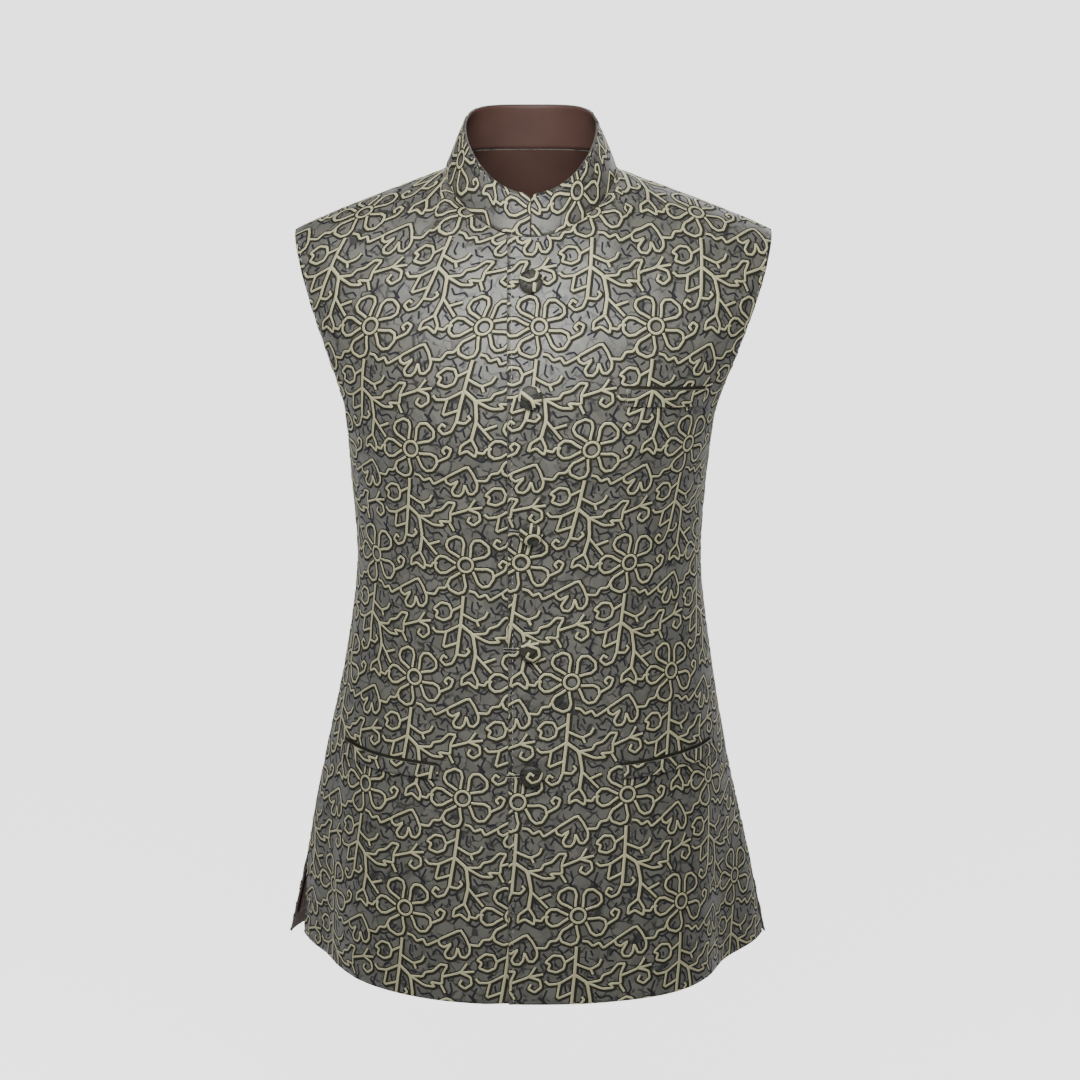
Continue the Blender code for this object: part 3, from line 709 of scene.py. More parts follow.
def shell(cloth, wall, materials, facing_width=0.0):
    """A closed wall of cloth with a rounded edge. The first material is outside, the second inside."""
    rows, columns = cloth.points.shape[:2]
    outer = cloth.points.reshape(-1, 3).copy()
    inner = (cloth.points - cloth.normals * wall).reshape(-1, 3)
    cut = cloth.cut.reshape(-1, 2)
    rim = rim_of(rows, columns)
    count = len(outer)
    # The edge rounds over: the outermost points drop a little, and the wall's middle stands proud.
    soften = cloth.normals.reshape(-1, 3)[rim] * wall * EDGE_SOFTEN
    outer[rim] -= soften
    inner[rim] += soften
    middle = (outer[rim] + inner[rim]) / 2
    onward = middle - np.roll(middle, 1, axis=0)
    onward += np.roll(onward, -1, axis=0)
    away = np.cross(onward, cloth.normals.reshape(-1, 3)[rim]) * cloth.facing
    away /= np.linalg.norm(away, axis=1, keepdims=True)
    middle += away * SEAM_GAP * EDGE_PROUD
    outside = grid_faces(rows, columns)
    inside = outside[:, ::-1] + count
    around = np.arange(len(rim)) + 2 * count
    after = np.roll(rim, -1)
    after_around = np.roll(around, -1)
    edge_out = np.stack((after, rim, around, after_around), axis=1)
    edge_in = np.stack((after_around, around, rim + count, after + count), axis=1)
    faces = np.concatenate((outside, inside, edge_out, edge_in))
    if cloth.facing < 0:
        faces = faces[:, ::-1]
    slots = np.zeros(len(faces), int)
    if len(materials) > 1:
        reach = np.abs(cloth.cut[:-1, :-1, 0]).ravel()
        slots[len(outside) : 2 * len(outside)] = reach > facing_width
    points = np.concatenate((outer, inner, middle))
    cut = np.concatenate((cut, cut, cut[rim]))
    return add_mesh(f"{cloth.name}_cloth", points, faces, materials, slots, cut)


# ---- The brocade's figure ----


def softened(points, closed):
    """A line with its corners rounded, in steps no longer than LONGEST_STEP."""
    points = np.asarray(points, float) / 1000
    following = np.roll(points, -1, axis=0) if closed else points[1:]
    before = points if closed else points[:-1]
    near = before * (1 - CORNER) + following * CORNER
    far = before * CORNER + following * (1 - CORNER)
    line = np.stack((near, far), axis=1).reshape(-1, 2)
    if not closed:
        line = np.concatenate((points[:1], line[1:-1], points[-1:]))
    ring = np.concatenate((line, line[:1])) if closed else line
    stepped = []
    for start, end in zip(ring, ring[1:]):
        steps = max(1, math.ceil(np.linalg.norm(end - start) / LONGEST_STEP))
        stepped += [start + (end - start) * step / steps for step in range(steps)]
    return np.array(stepped if closed else stepped + [ring[-1]])


def petal_points(petal):
    """A petal's outline, from the ring out round its blunt end and back."""
    side = np.array(PETAL_SIDE) * (petal.length, petal.breadth)
    outline_and_shade = np.concatenate((side * (1, -1), side[::-1]))
    turn = math.radians(petal.turn)
    return outline_and_shade @ np.array(((math.cos(turn), math.sin(turn)), (-math.sin(turn), math.cos(turn))))


def ribbon(line, closed, offsets, heights):
    """Rows of points across a line, one for each offset, and the faces between them."""
    after = np.roll(line, -1, axis=0) - line
    before = line - np.roll(line, 1, axis=0)
    if not closed:
        after[-1] = before[-1]
        before[0] = after[0]
    after /= np.linalg.norm(after, axis=1, keepdims=True)
    before /= np.linalg.norm(before, axis=1, keepdims=True)
    ahead = after + before
    ahead /= np.maximum(np.linalg.norm(ahead, axis=1, keepdims=True), 1e-6)
    reach = 1 / np.maximum(np.sum(ahead * after, axis=1, keepdims=True), 0.7)
    across = np.stack((ahead[:, 1], -ahead[:, 0]), axis=1) * reach
    points = line[:, None] + across[:, None] * np.array(offsets)[None, :, None]
    width = len(offsets)
    faces = grid_faces(len(line), width)
    if closed:
        last = np.arange((len(line) - 1) * width, len(line) * width)
        joint = np.stack((last[:-1], last[1:], np.arange(1, width), np.arange(width - 1)), axis=1)
        faces = np.concatenate((faces, joint))
    lift = np.broadcast_to(np.array(heights), (len(line), width))
    lengths = np.concatenate(([0.0], np.cumsum(np.linalg.norm(np.diff(line, axis=0), axis=1))))
    thread = np.stack(np.broadcast_arrays(lengths[:, None], np.array(offsets)[None]), axis=-1)
    return points.reshape(-1, 2), lift.ravel(), faces, thread.reshape(-1, 2)


Figure = namedtuple("Figure", "points lifts faces slots threads")
GOLD, OUTLINE_AND_SHADOW, CRACKLE = 0, 1, 2


def motif():
    """One cell of the figure, on the flat: raised gold threads with a dark outline under them, partly a woven
    outline and partly a painted drop shadow.
    """
    turns = np.linspace(0, math.tau, RING_SIDES + 1)[:-1]
    ring = [(RING_RADIUS * math.cos(turn), RING_RADIUS * math.sin(turn)) for turn in turns]
    lines = [Line("petal", True, ring)] + [Line("petal", False, petal_points(petal)) for petal in PETALS]
    points, lifts, faces, slots, threads = [], [], [], [], []
    count = 0
    cracks = [Line("crackle", False, crack) for crack in CRACKS]
    for number, line in enumerate([*lines, *LINES, *cracks]):
        thread = THREADS[line.thread]
        path = softened(line.points, line.closed)
        half = thread.width / 2
        layer = GROUND_LIFT + LAYER_STEP * (number % LAYERS)
        if thread.shadow:
            top = layer + thread.height
            shadow = thread.shadow / 2
            rise = (layer, layer + SHADOW_HEIGHT, layer)
            # The dark ribbon: partly a woven outline, partly a painted drop shadow shifted below and to the
            # right.
            dark = ribbon(path + SHADOW_SHIFT, line.closed, (-shadow, 0.0, shadow), rise)
            gold = ribbon(path, line.closed, (-half, -half * 0.6, half * 0.6, half), (layer, top, top, layer))
            parts = ((dark, OUTLINE_AND_SHADOW), (gold, GOLD))
        else:
            parts = ((ribbon(path, line.closed, (-half, half), (layer, layer)), CRACKLE),)
        for (flat, lift, quads, along), slot in parts:
            points.append(flat)
            lifts.append(lift)
            faces.append(quads + count)
            slots.append(np.full(len(quads), slot))
            threads.append(along)
            count += len(flat)
    return Figure(*[np.concatenate(part) for part in (points, lifts, faces, slots, threads)])


def repeated(figure, repeat, low, high):
    """The figure on every cell that reaches into a stretch of cloth."""
    points = []
    lowest = math.floor((low[1] - repeat.up) / ROW_RISE) - 1
    highest = math.ceil((high[1] - repeat.up) / ROW_RISE) + 1
    for row in range(lowest, highest + 1):
        shift = CELL_WIDTH / 2 if row % 2 else 0.0
        up = repeat.up + row * ROW_RISE
        first = math.floor((low[0] - repeat.out) / CELL_WIDTH) - 2
        last = math.ceil((high[0] - repeat.out) / CELL_WIDTH) + 2
        for column in range(first, last + 1):
            place = figure.points + (repeat.out + shift + column * CELL_WIDTH, up)
            above = np.maximum(place[:, 1] - repeat.drift_from, 0.0)
            place[:, 0] += repeat.lean * place[:, 1] + repeat.drift * above**2
            points.append(place)
    cells = len(points)
    steps = (np.arange(cells) * len(figure.points))[:, None, None]
    return Figure(
        np.concatenate(points),
        np.tile(figure.lifts, cells),
        (figure.faces[None] + steps).reshape(-1, 4),
        np.tile(figure.slots, cells),
        np.tile(figure.threads, (cells, 1)),
    )


def kept(figure, keep):
    """The figure without the faces that keep leaves out, or the points that no face then uses."""
    faces = figure.faces[keep]
    used, inverse = np.unique(faces, return_inverse=True)
    faces = inverse.reshape(-1, 4)
    return Figure(figure.points[used], figure.lifts[used], faces, figure.slots[keep], figure.threads[used])


def find_on_cut(cut, targets):
    """The rows and columns, with fractions, where a cut passes through each point."""
    rows, columns = cut.shape[:2]
    coarse = cut[::SEARCH_STEP, ::SEARCH_STEP]
    nearest = []
    for start in range(0, len(targets), SEARCH_BATCH):
        away = targets[start : start + SEARCH_BATCH, None] - coarse.reshape(1, -1, 2)
        nearest.append(np.argmin((away**2).sum(axis=2), axis=1))
    at = np.stack(np.divmod(np.concatenate(nearest), coarse.shape[1]), axis=1) * float(SEARCH_STEP)
    for _ in range(SEARCH_ROUNDS):
        row = np.clip(np.floor(at[:, 0]).astype(int), 0, rows - 2)
        column = np.clip(np.floor(at[:, 1]).astype(int), 0, columns - 2)
        here = blended(cut, at[:, 0], at[:, 1])
        up = cut[row + 1, column] - cut[row, column]
        out = cut[row, column + 1] - cut[row, column]
        short = targets - here
        size = up[:, 0] * out[:, 1] - up[:, 1] * out[:, 0]
        rise = (short[:, 0] * out[:, 1] - short[:, 1] * out[:, 0]) / size
        reach = (up[:, 0] * short[:, 1] - up[:, 1] * short[:, 0]) / size
        at += np.clip(np.stack((rise, reach), axis=1), -SEARCH_REACH, SEARCH_REACH)
    return at


def figure_on(cloth, repeat, figure, materials):
    """The figure woven into a cloth, cut off at its edges."""
    cut = cloth.cut.reshape(-1, 2)
    laid = repeated(figure, repeat, cut.min(axis=0), cut.max(axis=0))
    low, high = cut.min(axis=0) - CELL, cut.max(axis=0) + CELL
    near = np.all((laid.points > low) & (laid.points < high), axis=1)
    laid = kept(laid, near[laid.faces].any(axis=1))
    at = find_on_cut(cloth.cut, laid.points)
    rows, columns = cloth.points.shape[:2]
    last = np.array((rows - 1, columns - 1), float)
    inside = np.all((at >= 0) & (at <= last), axis=1)
    placed = laid._replace(points=np.concatenate((laid.points, at), axis=1))
    laid = kept(placed, inside[laid.faces].any(axis=1))
    at = np.clip(laid.points[:, 2:], EDGE_SHARE, last - EDGE_SHARE)
    points = blended(cloth.points, at[:, 0], at[:, 1])
    normals = blended(cloth.normals, at[:, 0], at[:, 1])
    points = points + normals * laid.lifts[:, None]
    return add_mesh(f"{cloth.name}_figure", points, laid.faces, materials, laid.slots, laid.threads)


# ---- Materials ----


class Nodes:
    """Adds nodes to a material and joins them, with few words for each."""

    def __init__(self, name):
        self.material = bpy.data.materials.new(name)
        self.material.use_nodes = True
        self.tree = self.material.node_tree
        self.shader = self.tree.nodes["Principled BSDF"]

    def add(self, kind, inputs=None, **settings):
        node = self.tree.nodes.new(f"ShaderNode{kind}")
        for key, value in settings.items():
            setattr(node, key, value)
        for key, value in (inputs or {}).items():
            if isinstance(value, bpy.types.NodeSocket):
                self.tree.links.new(value, node.inputs[key])
            else:
                node.inputs[key].default_value = value
        return node

    def link(self, socket, name):
        self.tree.links.new(socket, self.shader.inputs[name])

    def cut(self, scale_out=1.0, scale_up=1.0):
        """The flat cloth's own metres, scaled."""
        uv = self.add("UVMap", uv_map="cut")
        scaled = self.add("Mapping", {"Vector": uv.outputs["UV"], "Scale": (scale_out, scale_up, 1.0)})
        return scaled.outputs["Vector"]

    def maths(self, operation, one, other, clamp=False):
        node = self.add("Math", {0: one, 1: other}, operation=operation, use_clamp=clamp)
        return node.outputs[0]

    def blend(self, share, one, other):
        node = self.add("Mix", data_type="RGBA")
        for name, value in (("Factor_Float", share), ("A_Color", one), ("B_Color", other)):
            socket = next(s for s in node.inputs if s.identifier == name)
            if isinstance(value, bpy.types.NodeSocket):
                self.tree.links.new(value, socket)
            else:
                socket.default_value = (*value, 1.0) if isinstance(value, tuple) else value
        return next(s for s in node.outputs if s.identifier == "Result_Color")

    def ramp(self, value, stops):
        node = self.add("ValToRGB", {"Fac": value})
        places = node.color_ramp.elements
        for place, (position, grey) in zip(places, (stops[0], stops[-1])):
            place.position = position
            place.color = (grey, grey, grey, 1.0)
        for position, grey in stops[1:-1]:
            places.new(position).color = (grey, grey, grey, 1.0)
        return node.outputs["Color"]

    def noise(self, vector, scale, detail=2.0):
        return self.add("TexNoise", {"Vector": vector, "Scale": scale, "Detail": detail}).outputs["Fac"]

    def bump(self, height, strength, distance):
        node = self.add("Bump", {"Height": height, "Strength": strength, "Distance": distance})
        self.link(node.outputs["Normal"], "Normal")

    def surface(self, roughness, sheen=0.0, metallic=0.0, specular=0.5, tint=(1.0, 1.0, 1.0)):
        self.shader.inputs["Roughness"].default_value = roughness
        self.shader.inputs["Metallic"].default_value = metallic
        self.shader.inputs["Specular IOR Level"].default_value = specular
        self.shader.inputs["Sheen Weight"].default_value = sheen
        self.shader.inputs["Sheen Roughness"].default_value = 0.45
        self.shader.inputs["Sheen Tint"].default_value = (*tint, 1.0)


def woven_ground(name, dark, light, crack, specular=0.20):
    """The satin ground: fine floats along the warp, slubs, and a faint crackle of dark weft."""
    n = Nodes(name)
    metres = n.cut()
    floats = n.noise(n.cut(2600.0, 240.0), 1.0, 1.0)
    weft = n.noise(n.cut(300.0, 1900.0), 1.0, 1.0)
    clouds = n.noise(metres, 46.0, 3.0)
    facets = n.add("TexVoronoi", {"Vector": metres, "Scale": 92.0, "Randomness": 1.0}).outputs["Color"]
    patch = n.add("SeparateColor", {"Color": facets}).outputs["Red"]
    tone = n.maths("ADD", n.maths("MULTIPLY", floats, 0.42), n.maths("MULTIPLY", clouds, 0.32))
    tone = n.maths("ADD", tone, n.maths("MULTIPLY", patch, 0.34), clamp=True)
    colour = n.blend(tone, dark, light)
    bent = n.add("TexNoise", {"Vector": metres, "Scale": 120.0, "Detail": 1.0}).outputs["Color"]
    wander = n.add("VectorMath", {0: bent, 1: (0.009, 0.009, 0.0)}, operation="MULTIPLY").outputs["Vector"]
    moved = n.add("VectorMath", {0: metres, 1: wander}, operation="ADD").outputs["Vector"]
    cells = n.add("TexVoronoi", {"Vector": moved, "Scale": 78.0}, feature="DISTANCE_TO_EDGE")
    line = n.ramp(cells.outputs["Distance"], ((0.028, 1.0), (0.075, 0.0)))
    broken = n.ramp(n.noise(metres, 120.0, 1.0), ((0.42, 0.15), (0.50, 1.0)))
    crackle = n.maths("MULTIPLY", n.maths("MULTIPLY", line, broken), 0.88)
    n.link(n.blend(crackle, colour, crack), "Base Color")
    n.surface(0.46, sheen=0.04, specular=specular)
    n.link(n.maths("ADD", n.maths("MULTIPLY", weft, 0.20), 0.36), "Roughness")
    n.bump(n.maths("ADD", floats, n.maths("MULTIPLY", weft, 0.6)), 0.35, 0.00025)
    return n.material


def thread_finish(name, dark, light, roughness, metallic, sheen, specular=0.3):
    """Floats laid side by side along a line of the figure, a little uneven."""
    n = Nodes(name)
    metres = n.cut()
    place = n.add("TexCoord").outputs["Object"]
    twist = n.noise(n.cut(420.0, 5200.0), 1.0, 1.0)
    picks = n.add("TexWave", {"Vector": metres, "Scale": 420.0, "Distortion": 1.2, "Detail": 1.0},
                  wave_type="BANDS", bands_direction="X").outputs["Fac"]
    wear = n.noise(place, 85.0, 2.0)
    tone = n.maths("ADD", n.maths("MULTIPLY", picks, 0.30), n.maths("MULTIPLY", twist, 0.30))
    tone = n.maths("ADD", tone, n.maths("MULTIPLY", wear, 0.55), clamp=True)
    n.link(n.blend(tone, dark, light), "Base Color")
    n.surface(roughness, sheen=sheen, metallic=metallic, specular=specular, tint=(1.0, 0.95, 0.80))
    n.bump(n.maths("ADD", picks, twist), 0.45, 0.00022)
    return n.material


def lining_finish():
    """Dark brown satin with a fine twill."""
    n = Nodes("dark_lining")
    twill = n.add("TexWave", {"Vector": n.cut(), "Scale": 520.0, "Distortion": 0.4},
                  wave_type="BANDS", bands_direction="DIAGONAL").outputs["Fac"]
    clouds = n.noise(n.cut(), 26.0, 3.0)
    tone = n.maths("ADD", n.maths("MULTIPLY", twill, 0.4), n.maths("MULTIPLY", clouds, 0.6))
    n.link(n.blend(tone, (0.012, 0.006, 0.0048), (0.030, 0.0155, 0.012)), "Base Color")
    n.surface(0.58, specular=0.10)
    n.bump(twill, 0.25, 0.00015)
    return n.material


def stitch_finish():
    n = Nodes("tonal_stitching")
    place = n.add("TexCoord").outputs["Object"]
    tone = n.noise(place, 900.0, 2.0)
    n.link(n.blend(tone, (0.070, 0.069, 0.060), (0.150, 0.148, 0.128)), "Base Color")
    n.surface(0.6, sheen=0.2)
    n.bump(tone, 0.4, 0.0001)
    return n.material


# ---- Buttons, slits and stitches ----


def figure_on_button(figure, out, up, place):
    """The part of the figure that a button's cover was cut from, drawn down over its dome."""
    shifted = figure._replace(points=figure.points - (out, up))
    near = np.linalg.norm(shifted.points, axis=1) < BUTTON_RADIUS * 1.12
    shifted = kept(shifted, near[shifted.faces].all(axis=1))
    radius = np.linalg.norm(shifted.points, axis=1)
    squeeze = np.minimum(radius, BUTTON_RADIUS * 0.985) / np.maximum(radius, 1e-9)
    flat = shifted.points * squeeze[:, None]
    share = np.clip(np.linalg.norm(flat, axis=1) / BUTTON_RADIUS, 0.0, 1.0)
    dome = BUTTON_HEIGHT - BUTTON_EDGE
    height = BUTTON_EDGE + dome * np.sqrt(1 - share**2)
    normals = np.column_stack((flat / BUTTON_RADIUS**2, (height - BUTTON_EDGE) / dome**2))
    normals /= np.linalg.norm(normals, axis=1, keepdims=True)
    points = np.column_stack((flat, height)) + normals * (shifted.lifts * 0.8)[:, None]
    return points @ place[:3, :3].T + place[:3, 3], shifted


def button_place(front, height):
    """Where a button stands: its own axes, with z out of the front and y up it."""
    column = column_of(front, 0.0)
    row = row_at(front, column, height)
    point = blended(front.points, np.array([row]), np.array([column]))[0]
    normal = blended(front.normals, np.array([row]), np.array([column]))[0]
    normal /= np.linalg.norm(normal)
    right = np.cross((0.0, 0.0, 1.0), normal)
    right /= np.linalg.norm(right)
    place = np.eye(4)
    place[:3, :3] = np.column_stack((right, np.cross(normal, right), normal))
    place[:3, 3] = point + normal * SEAM_GAP
    return place


def add_button(number, front, figure, covers, threads):
    place = button_place(front, BUTTON_HEIGHTS[number - 1])
    dome = BUTTON_HEIGHT - BUTTON_EDGE
    turns = np.linspace(0.0, math.pi / 2, 12)
    profile = [(BUTTON_RADIUS * math.sin(t), BUTTON_EDGE + dome * math.cos(t)) for t in turns]
    profile += [
        (BUTTON_RADIUS * 0.985, BUTTON_EDGE - 0.0006),
        (BUTTON_RADIUS * 0.93, SHANK_HEIGHT),
        (SHANK_RADIUS * 1.25, SHANK_HEIGHT + 0.0001),
        (SHANK_RADIUS, SHANK_HEIGHT * 0.5),
        (SHANK_RADIUS * 1.1, 0.0),
        (0.0, 0.0),
    ]
    mesh = bpy.data.meshes.new("button_profile")
    mesh.from_pydata([(r, 0.0, z) for r, z in profile], [(k, k + 1) for k in range(len(profile) - 1)], [])
    turned = bpy.data.objects.new("button_profile", mesh)
    bpy.context.scene.collection.objects.link(turned)
    screw = turned.modifiers.new("turned", "SCREW")
    screw.steps = screw.render_steps = 40
    screw.use_merge_vertices = True
    screw.merge_threshold = 0.00001
    piece = settled(turned, f"button_{number}_cover", covers)
    points = np.array([vertex.co for vertex in piece.data.vertices])
    # The cloth gathers a little under the rim.
    around = np.arctan2(points[:, 1], points[:, 0])
    low = smoothstep(BUTTON_EDGE + 0.0008, SHANK_HEIGHT, points[:, 2])
    low = low * (np.hypot(points[:, 0], points[:, 1]) > 0.006)
    points[:, :2] *= (1 - 0.02 * low * (1 + np.sin(around * 13 + number)))[:, None]
    layer = piece.data.uv_layers.new(name="cut")
    loops = np.array([loop.vertex_index for loop in piece.data.loops])
    layer.uv.foreach_set("vector", (points[loops][:, :2] + (0.1 * number, 0.3)).astype(np.float32).ravel())
    points = points @ place[:3, :3].T + place[:3, 3]
    piece.data.vertices.foreach_set("co", points.astype(np.float32).ravel())
    piece.data.update()
    out, up = BUTTON_CUTS[number - 1]
    shown, part = figure_on_button(figure, out / 1000, up / 1000, place)
    drawn = add_mesh(f"button_{number}_figure", shown, part.faces, threads, part.slots, part.threads)
    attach(piece, "root")
    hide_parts(f"button_{number}")
    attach(drawn, "root")


def settled(live, name, materials):
    """A plain mesh of what a live object's modifiers make."""
    bpy.context.view_layer.update()
    mesh = bpy.data.meshes.new_from_object(live.evaluated_get(bpy.context.evaluated_depsgraph_get()))
    mesh.name = name
    if not mesh.materials:
        for material in materials:
            mesh.materials.append(material)
    mesh.polygons.foreach_set("use_smooth", np.ones(len(mesh.polygons), bool))
    piece = bpy.data.objects.new(name, mesh)
    bpy.context.scene.collection.objects.link(piece)
    bpy.data.objects.remove(live)
    return piece


def stitch_tree(material):
    """Stitches set along a path: each a small lozenge of thread that lies along it, or across it."""
    tree = bpy.data.node_groups.new("stitches", "GeometryNodeTree")
    tree.interface.new_socket("Geometry", in_out="OUTPUT", socket_type="NodeSocketGeometry")
    sockets = {"Geometry": "NodeSocketGeometry", "Spacing": "NodeSocketFloat", "Length": "NodeSocketFloat",
               "Thickness": "NodeSocketFloat", "Turn": "NodeSocketFloat"}
    for name, kind in sockets.items():
        tree.interface.new_socket(name, in_out="INPUT", socket_type=kind)

    def add(kind, **settings):
        node = tree.nodes.new(kind)
        for key, value in settings.items():
            setattr(node, key, value)
        return node

    given = add("NodeGroupInput")
    path = add("GeometryNodeMeshToCurve")
    spaced = add("GeometryNodeResampleCurve", mode="LENGTH")
    ahead = add("GeometryNodeInputTangent")
    turned = add("FunctionNodeAlignRotationToVector", axis="X")
    about = add("FunctionNodeRotateRotation", rotation_space="LOCAL")
    spin = add("FunctionNodeEulerToRotation")
    turn = add("ShaderNodeCombineXYZ")
    ball = add("GeometryNodeMeshUVSphere")
    ball.inputs["Segments"].default_value = 6
    ball.inputs["Rings"].default_value = 4
    ball.inputs["Radius"].default_value = 0.5
    size = add("ShaderNodeCombineXYZ")
    place = add("GeometryNodeInstanceOnPoints")
    real = add("GeometryNodeRealizeInstances")
    finish = add("GeometryNodeSetMaterial")
    finish.inputs["Material"].default_value = material
    end = add("NodeGroupOutput")
    joins = (
        (given, "Geometry", path, "Mesh"),
        (path, "Curve", spaced, "Curve"),
        (given, "Spacing", spaced, "Length"),
        (ahead, "Tangent", turned, "Vector"),
        (turned, "Rotation", about, "Rotation"),
        (given, "Turn", turn, "Z"),
        (turn, "Vector", spin, "Euler"),
        (spin, "Rotation", about, "Rotate By"),
        (given, "Length", size, "X"),
        (given, "Thickness", size, "Y"),
        (given, "Thickness", size, "Z"),
        (spaced, "Curve", place, "Points"),
        (ball, "Mesh", place, "Instance"),
        (about, "Rotation", place, "Rotation"),
        (size, "Vector", place, "Scale"),
        (place, "Instances", real, "Geometry"),
        (real, "Geometry", finish, "Geometry"),
        (finish, "Geometry", end, "Geometry"),
    )
    for one, output, other, entry in joins:
        tree.links.new(one.outputs[output], other.inputs[entry])
    return tree


def add_stitches(name, tree, path, spacing, length, thickness, turn=0.0):
    """Stitches along a path of points."""
    mesh = bpy.data.meshes.new(name)
    mesh.from_pydata([tuple(point) for point in path], [(k, k + 1) for k in range(len(path) - 1)], [])
    live = bpy.data.objects.new(f"{name}_path", mesh)
    bpy.context.scene.collection.objects.link(live)
    rows = live.modifiers.new("stitches", "NODES")
    values = {"Spacing": spacing, "Length": length, "Thickness": thickness, "Turn": turn}
    rows.node_group = tree
    for item in tree.interface.items_tree:
        if item.in_out == "INPUT" and item.name in values:
            rows[item.identifier] = values[item.name]
    piece = settled(live, name, ())
    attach(piece, "root")
    return piece


def edge_stitches(cloth, tree):
    """Pick stitches along a panel's free edges: the armholes, and a front's own edge."""
    heights = np.linspace(FRONT[UNDERARM].middle_z + 0.012, SHOULDER_TIP[2] - 0.004, 60)
    last = cloth.points.shape[1] - 1
    ends = {"back": (("right_armhole", 1.2), ("left_armhole", last - 1.2))}
    made = []
    for name, column in ends.get(cloth.name, (("armhole", last - 1.2),)):
        rows = np.array([row_at(cloth, column, height) for height in heights])
        path = on_cloth(cloth, rows, np.full_like(rows, column), EDGE_LIFT)
        made.append(add_stitches(f"{cloth.name}_{name}_stitches", tree, path, *PICK))
    if cloth.name == "front_left":
        rows = np.linspace(1.0, cloth.points.shape[0] - 2.0, 260)
        path = on_cloth(cloth, rows, np.full_like(rows, column_of(cloth, 0.004 - LAP)), EDGE_LIFT)
        made.append(add_stitches("front_edge_stitches", tree, path, *PICK))
    return made


def on_cloth(cloth, rows, columns, lift):
    rows, columns = np.broadcast_arrays(np.asarray(rows, float), np.asarray(columns, float))
    points = blended(cloth.points, rows, columns)
    return points + blended(cloth.normals, rows, columns) * lift


def strip_on(name, cloth, outs, ups, width, lift, materials):
    """A flat dark strip along a line of cut points: painted shade in an opening, such as a slit."""
    line = np.column_stack((outs, ups))
    flat, _, faces, _ = ribbon(line, False, (-width / 2, width / 2), (0.0, 0.0))
    at = find_on_cut(cloth.cut, flat)
    points = on_cloth(cloth, at[:, 0], at[:, 1], lift)
    piece = add_mesh(name, points, faces, materials, cut=flat)
    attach(piece, "root")
    return piece


# ---- The studio ----


def add_light(name, place, strength, softness):
    """A large far lamp that shines towards the jacket from a place. softness is its width in degrees."""
    light = bpy.data.lights.new(name, "SUN")
    light.energy = strength
    light.angle = math.radians(softness)
    lamp = bpy.data.objects.new(name, light)
    bpy.context.scene.collection.objects.link(lamp)
    lamp.location = place
    lamp.rotation_euler = (-Vector(place)).to_track_quat("-Z", "Y").to_euler()


def add_studio():
    lens = bpy.data.cameras.new("camera")
    lens.lens = 90.0
    lens.sensor_width = 36.0
    camera = bpy.data.objects.new("camera", lens)
    bpy.context.scene.collection.objects.link(camera)
    camera.location = CAMERA_PLACE
    camera.rotation_euler = (Vector(CAMERA_TARGET) - Vector(CAMERA_PLACE)).to_track_quat("-Z", "Y").to_euler()
    bpy.context.scene.camera = camera
    world = bpy.data.worlds.new("studio")
    world.use_nodes = True
    world.node_tree.nodes["Background"].inputs["Color"].default_value = (1.0, 1.0, 1.0, 1.0)
    world.node_tree.nodes["Background"].inputs["Strength"].default_value = 0.29
    bpy.context.scene.world = world
    add_light("left_lamp", (-1.9, -1.1, 2.6), 1.45, 35.0)
    add_light("back_lamp", (0.9, 2.4, 1.2), 2.8, 60.0)
    panel = bpy.data.lights.new("chest_panel", "AREA")
    panel.shape = "RECTANGLE"
    panel.size = 0.8
    panel.size_y = 0.5
    panel.energy = 58.0
    hung = bpy.data.objects.new("chest_panel", panel)
    bpy.context.scene.collection.objects.link(hung)
    hung.location = (-0.05, -0.85, 0.32)
    hung.rotation_euler = Vector((0.05, 0.75, -0.45)).to_track_quat("-Z", "Y").to_euler()
    hung.visible_camera = False
    corners = [(-40.0, -40.0), (40.0, -40.0), (40.0, 40.0), (-40.0, 40.0)]
    mesh = bpy.data.meshes.new("floor")
    mesh.from_pydata([(x, y, FLOOR_Z) for x, y in corners], [], [(0, 1, 2, 3)])
    n = Nodes("pale_floor")
    grain = n.noise(n.add("TexCoord").outputs["Object"], 3.0)
    n.link(n.blend(grain, (0.92, 0.92, 0.92), (0.95, 0.95, 0.95)), "Base Color")
    n.surface(0.9)
    n.link(n.maths("MULTIPLY", n.add("LightPath").outputs["Is Camera Ray"], 1.5), "Emission Strength")
    mesh.materials.append(n.material)
    floor = bpy.data.objects.new("floor", mesh)
    bpy.context.scene.collection.objects.link(floor)


# ---- The jacket ----

BUTTON_EDGE = SHANK_HEIGHT + 0.0012
# The middle of each button's cover, in millimetres on the motif.
BUTTON_CUTS = ((-6.0, -26.0), (4.0, -60.0), (-2.0, 6.0), (56.0, -60.0), (-20.0, -86.0))
CAMERA_PLACE = (0.0078, -2.35, 0.295)
CAMERA_TARGET = (0.0078, 0.0, -0.33468)
FLOOR_Z = -1.45  # the jacket is held at its height on a standing wearer
FACING = 0.055  # of the brocade, turned in along a front's edge
# Each kind of stitch has its spacing, length and thickness.
PICK = (0.0058, 0.0026, 0.0005)
TACK = (0.0011, 0.0017, 0.0004)
BUTTONHOLE_STITCH = (0.0009, 0.0019, 0.0006)
EDGE_LIFT = 0.00035  # of the pick stitches off the cloth
# A pocket's slit and a buttonhole's slit are flat dark strips: painted shade in the opening.
SLIT_RISE = 0.0012  # of a pocket's slit above its welt
SLIT_WIDTH = 0.0030
SLIT_LIFT = 0.00060
BUTTONHOLE_ENDS = (-0.0108, 0.0092)  # from the centre line
BUTTONHOLE_WIDTH = 0.0011
BUTTONHOLE_ROW = 0.0012  # from the middle of the slit to each row of its stitches
MATT = (0.75, 0.0, 0.0, 0.08)  # the dark threads' roughness, metallic, sheen and specular


def declare(piece, node, wall_pieces):
    """Attaches a sheet of cloth and the pieces drawn on it, and hides the solid that it stands for."""
    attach(piece, "root")
    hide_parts(node)
    for part in wall_pieces:
        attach(part, "root")


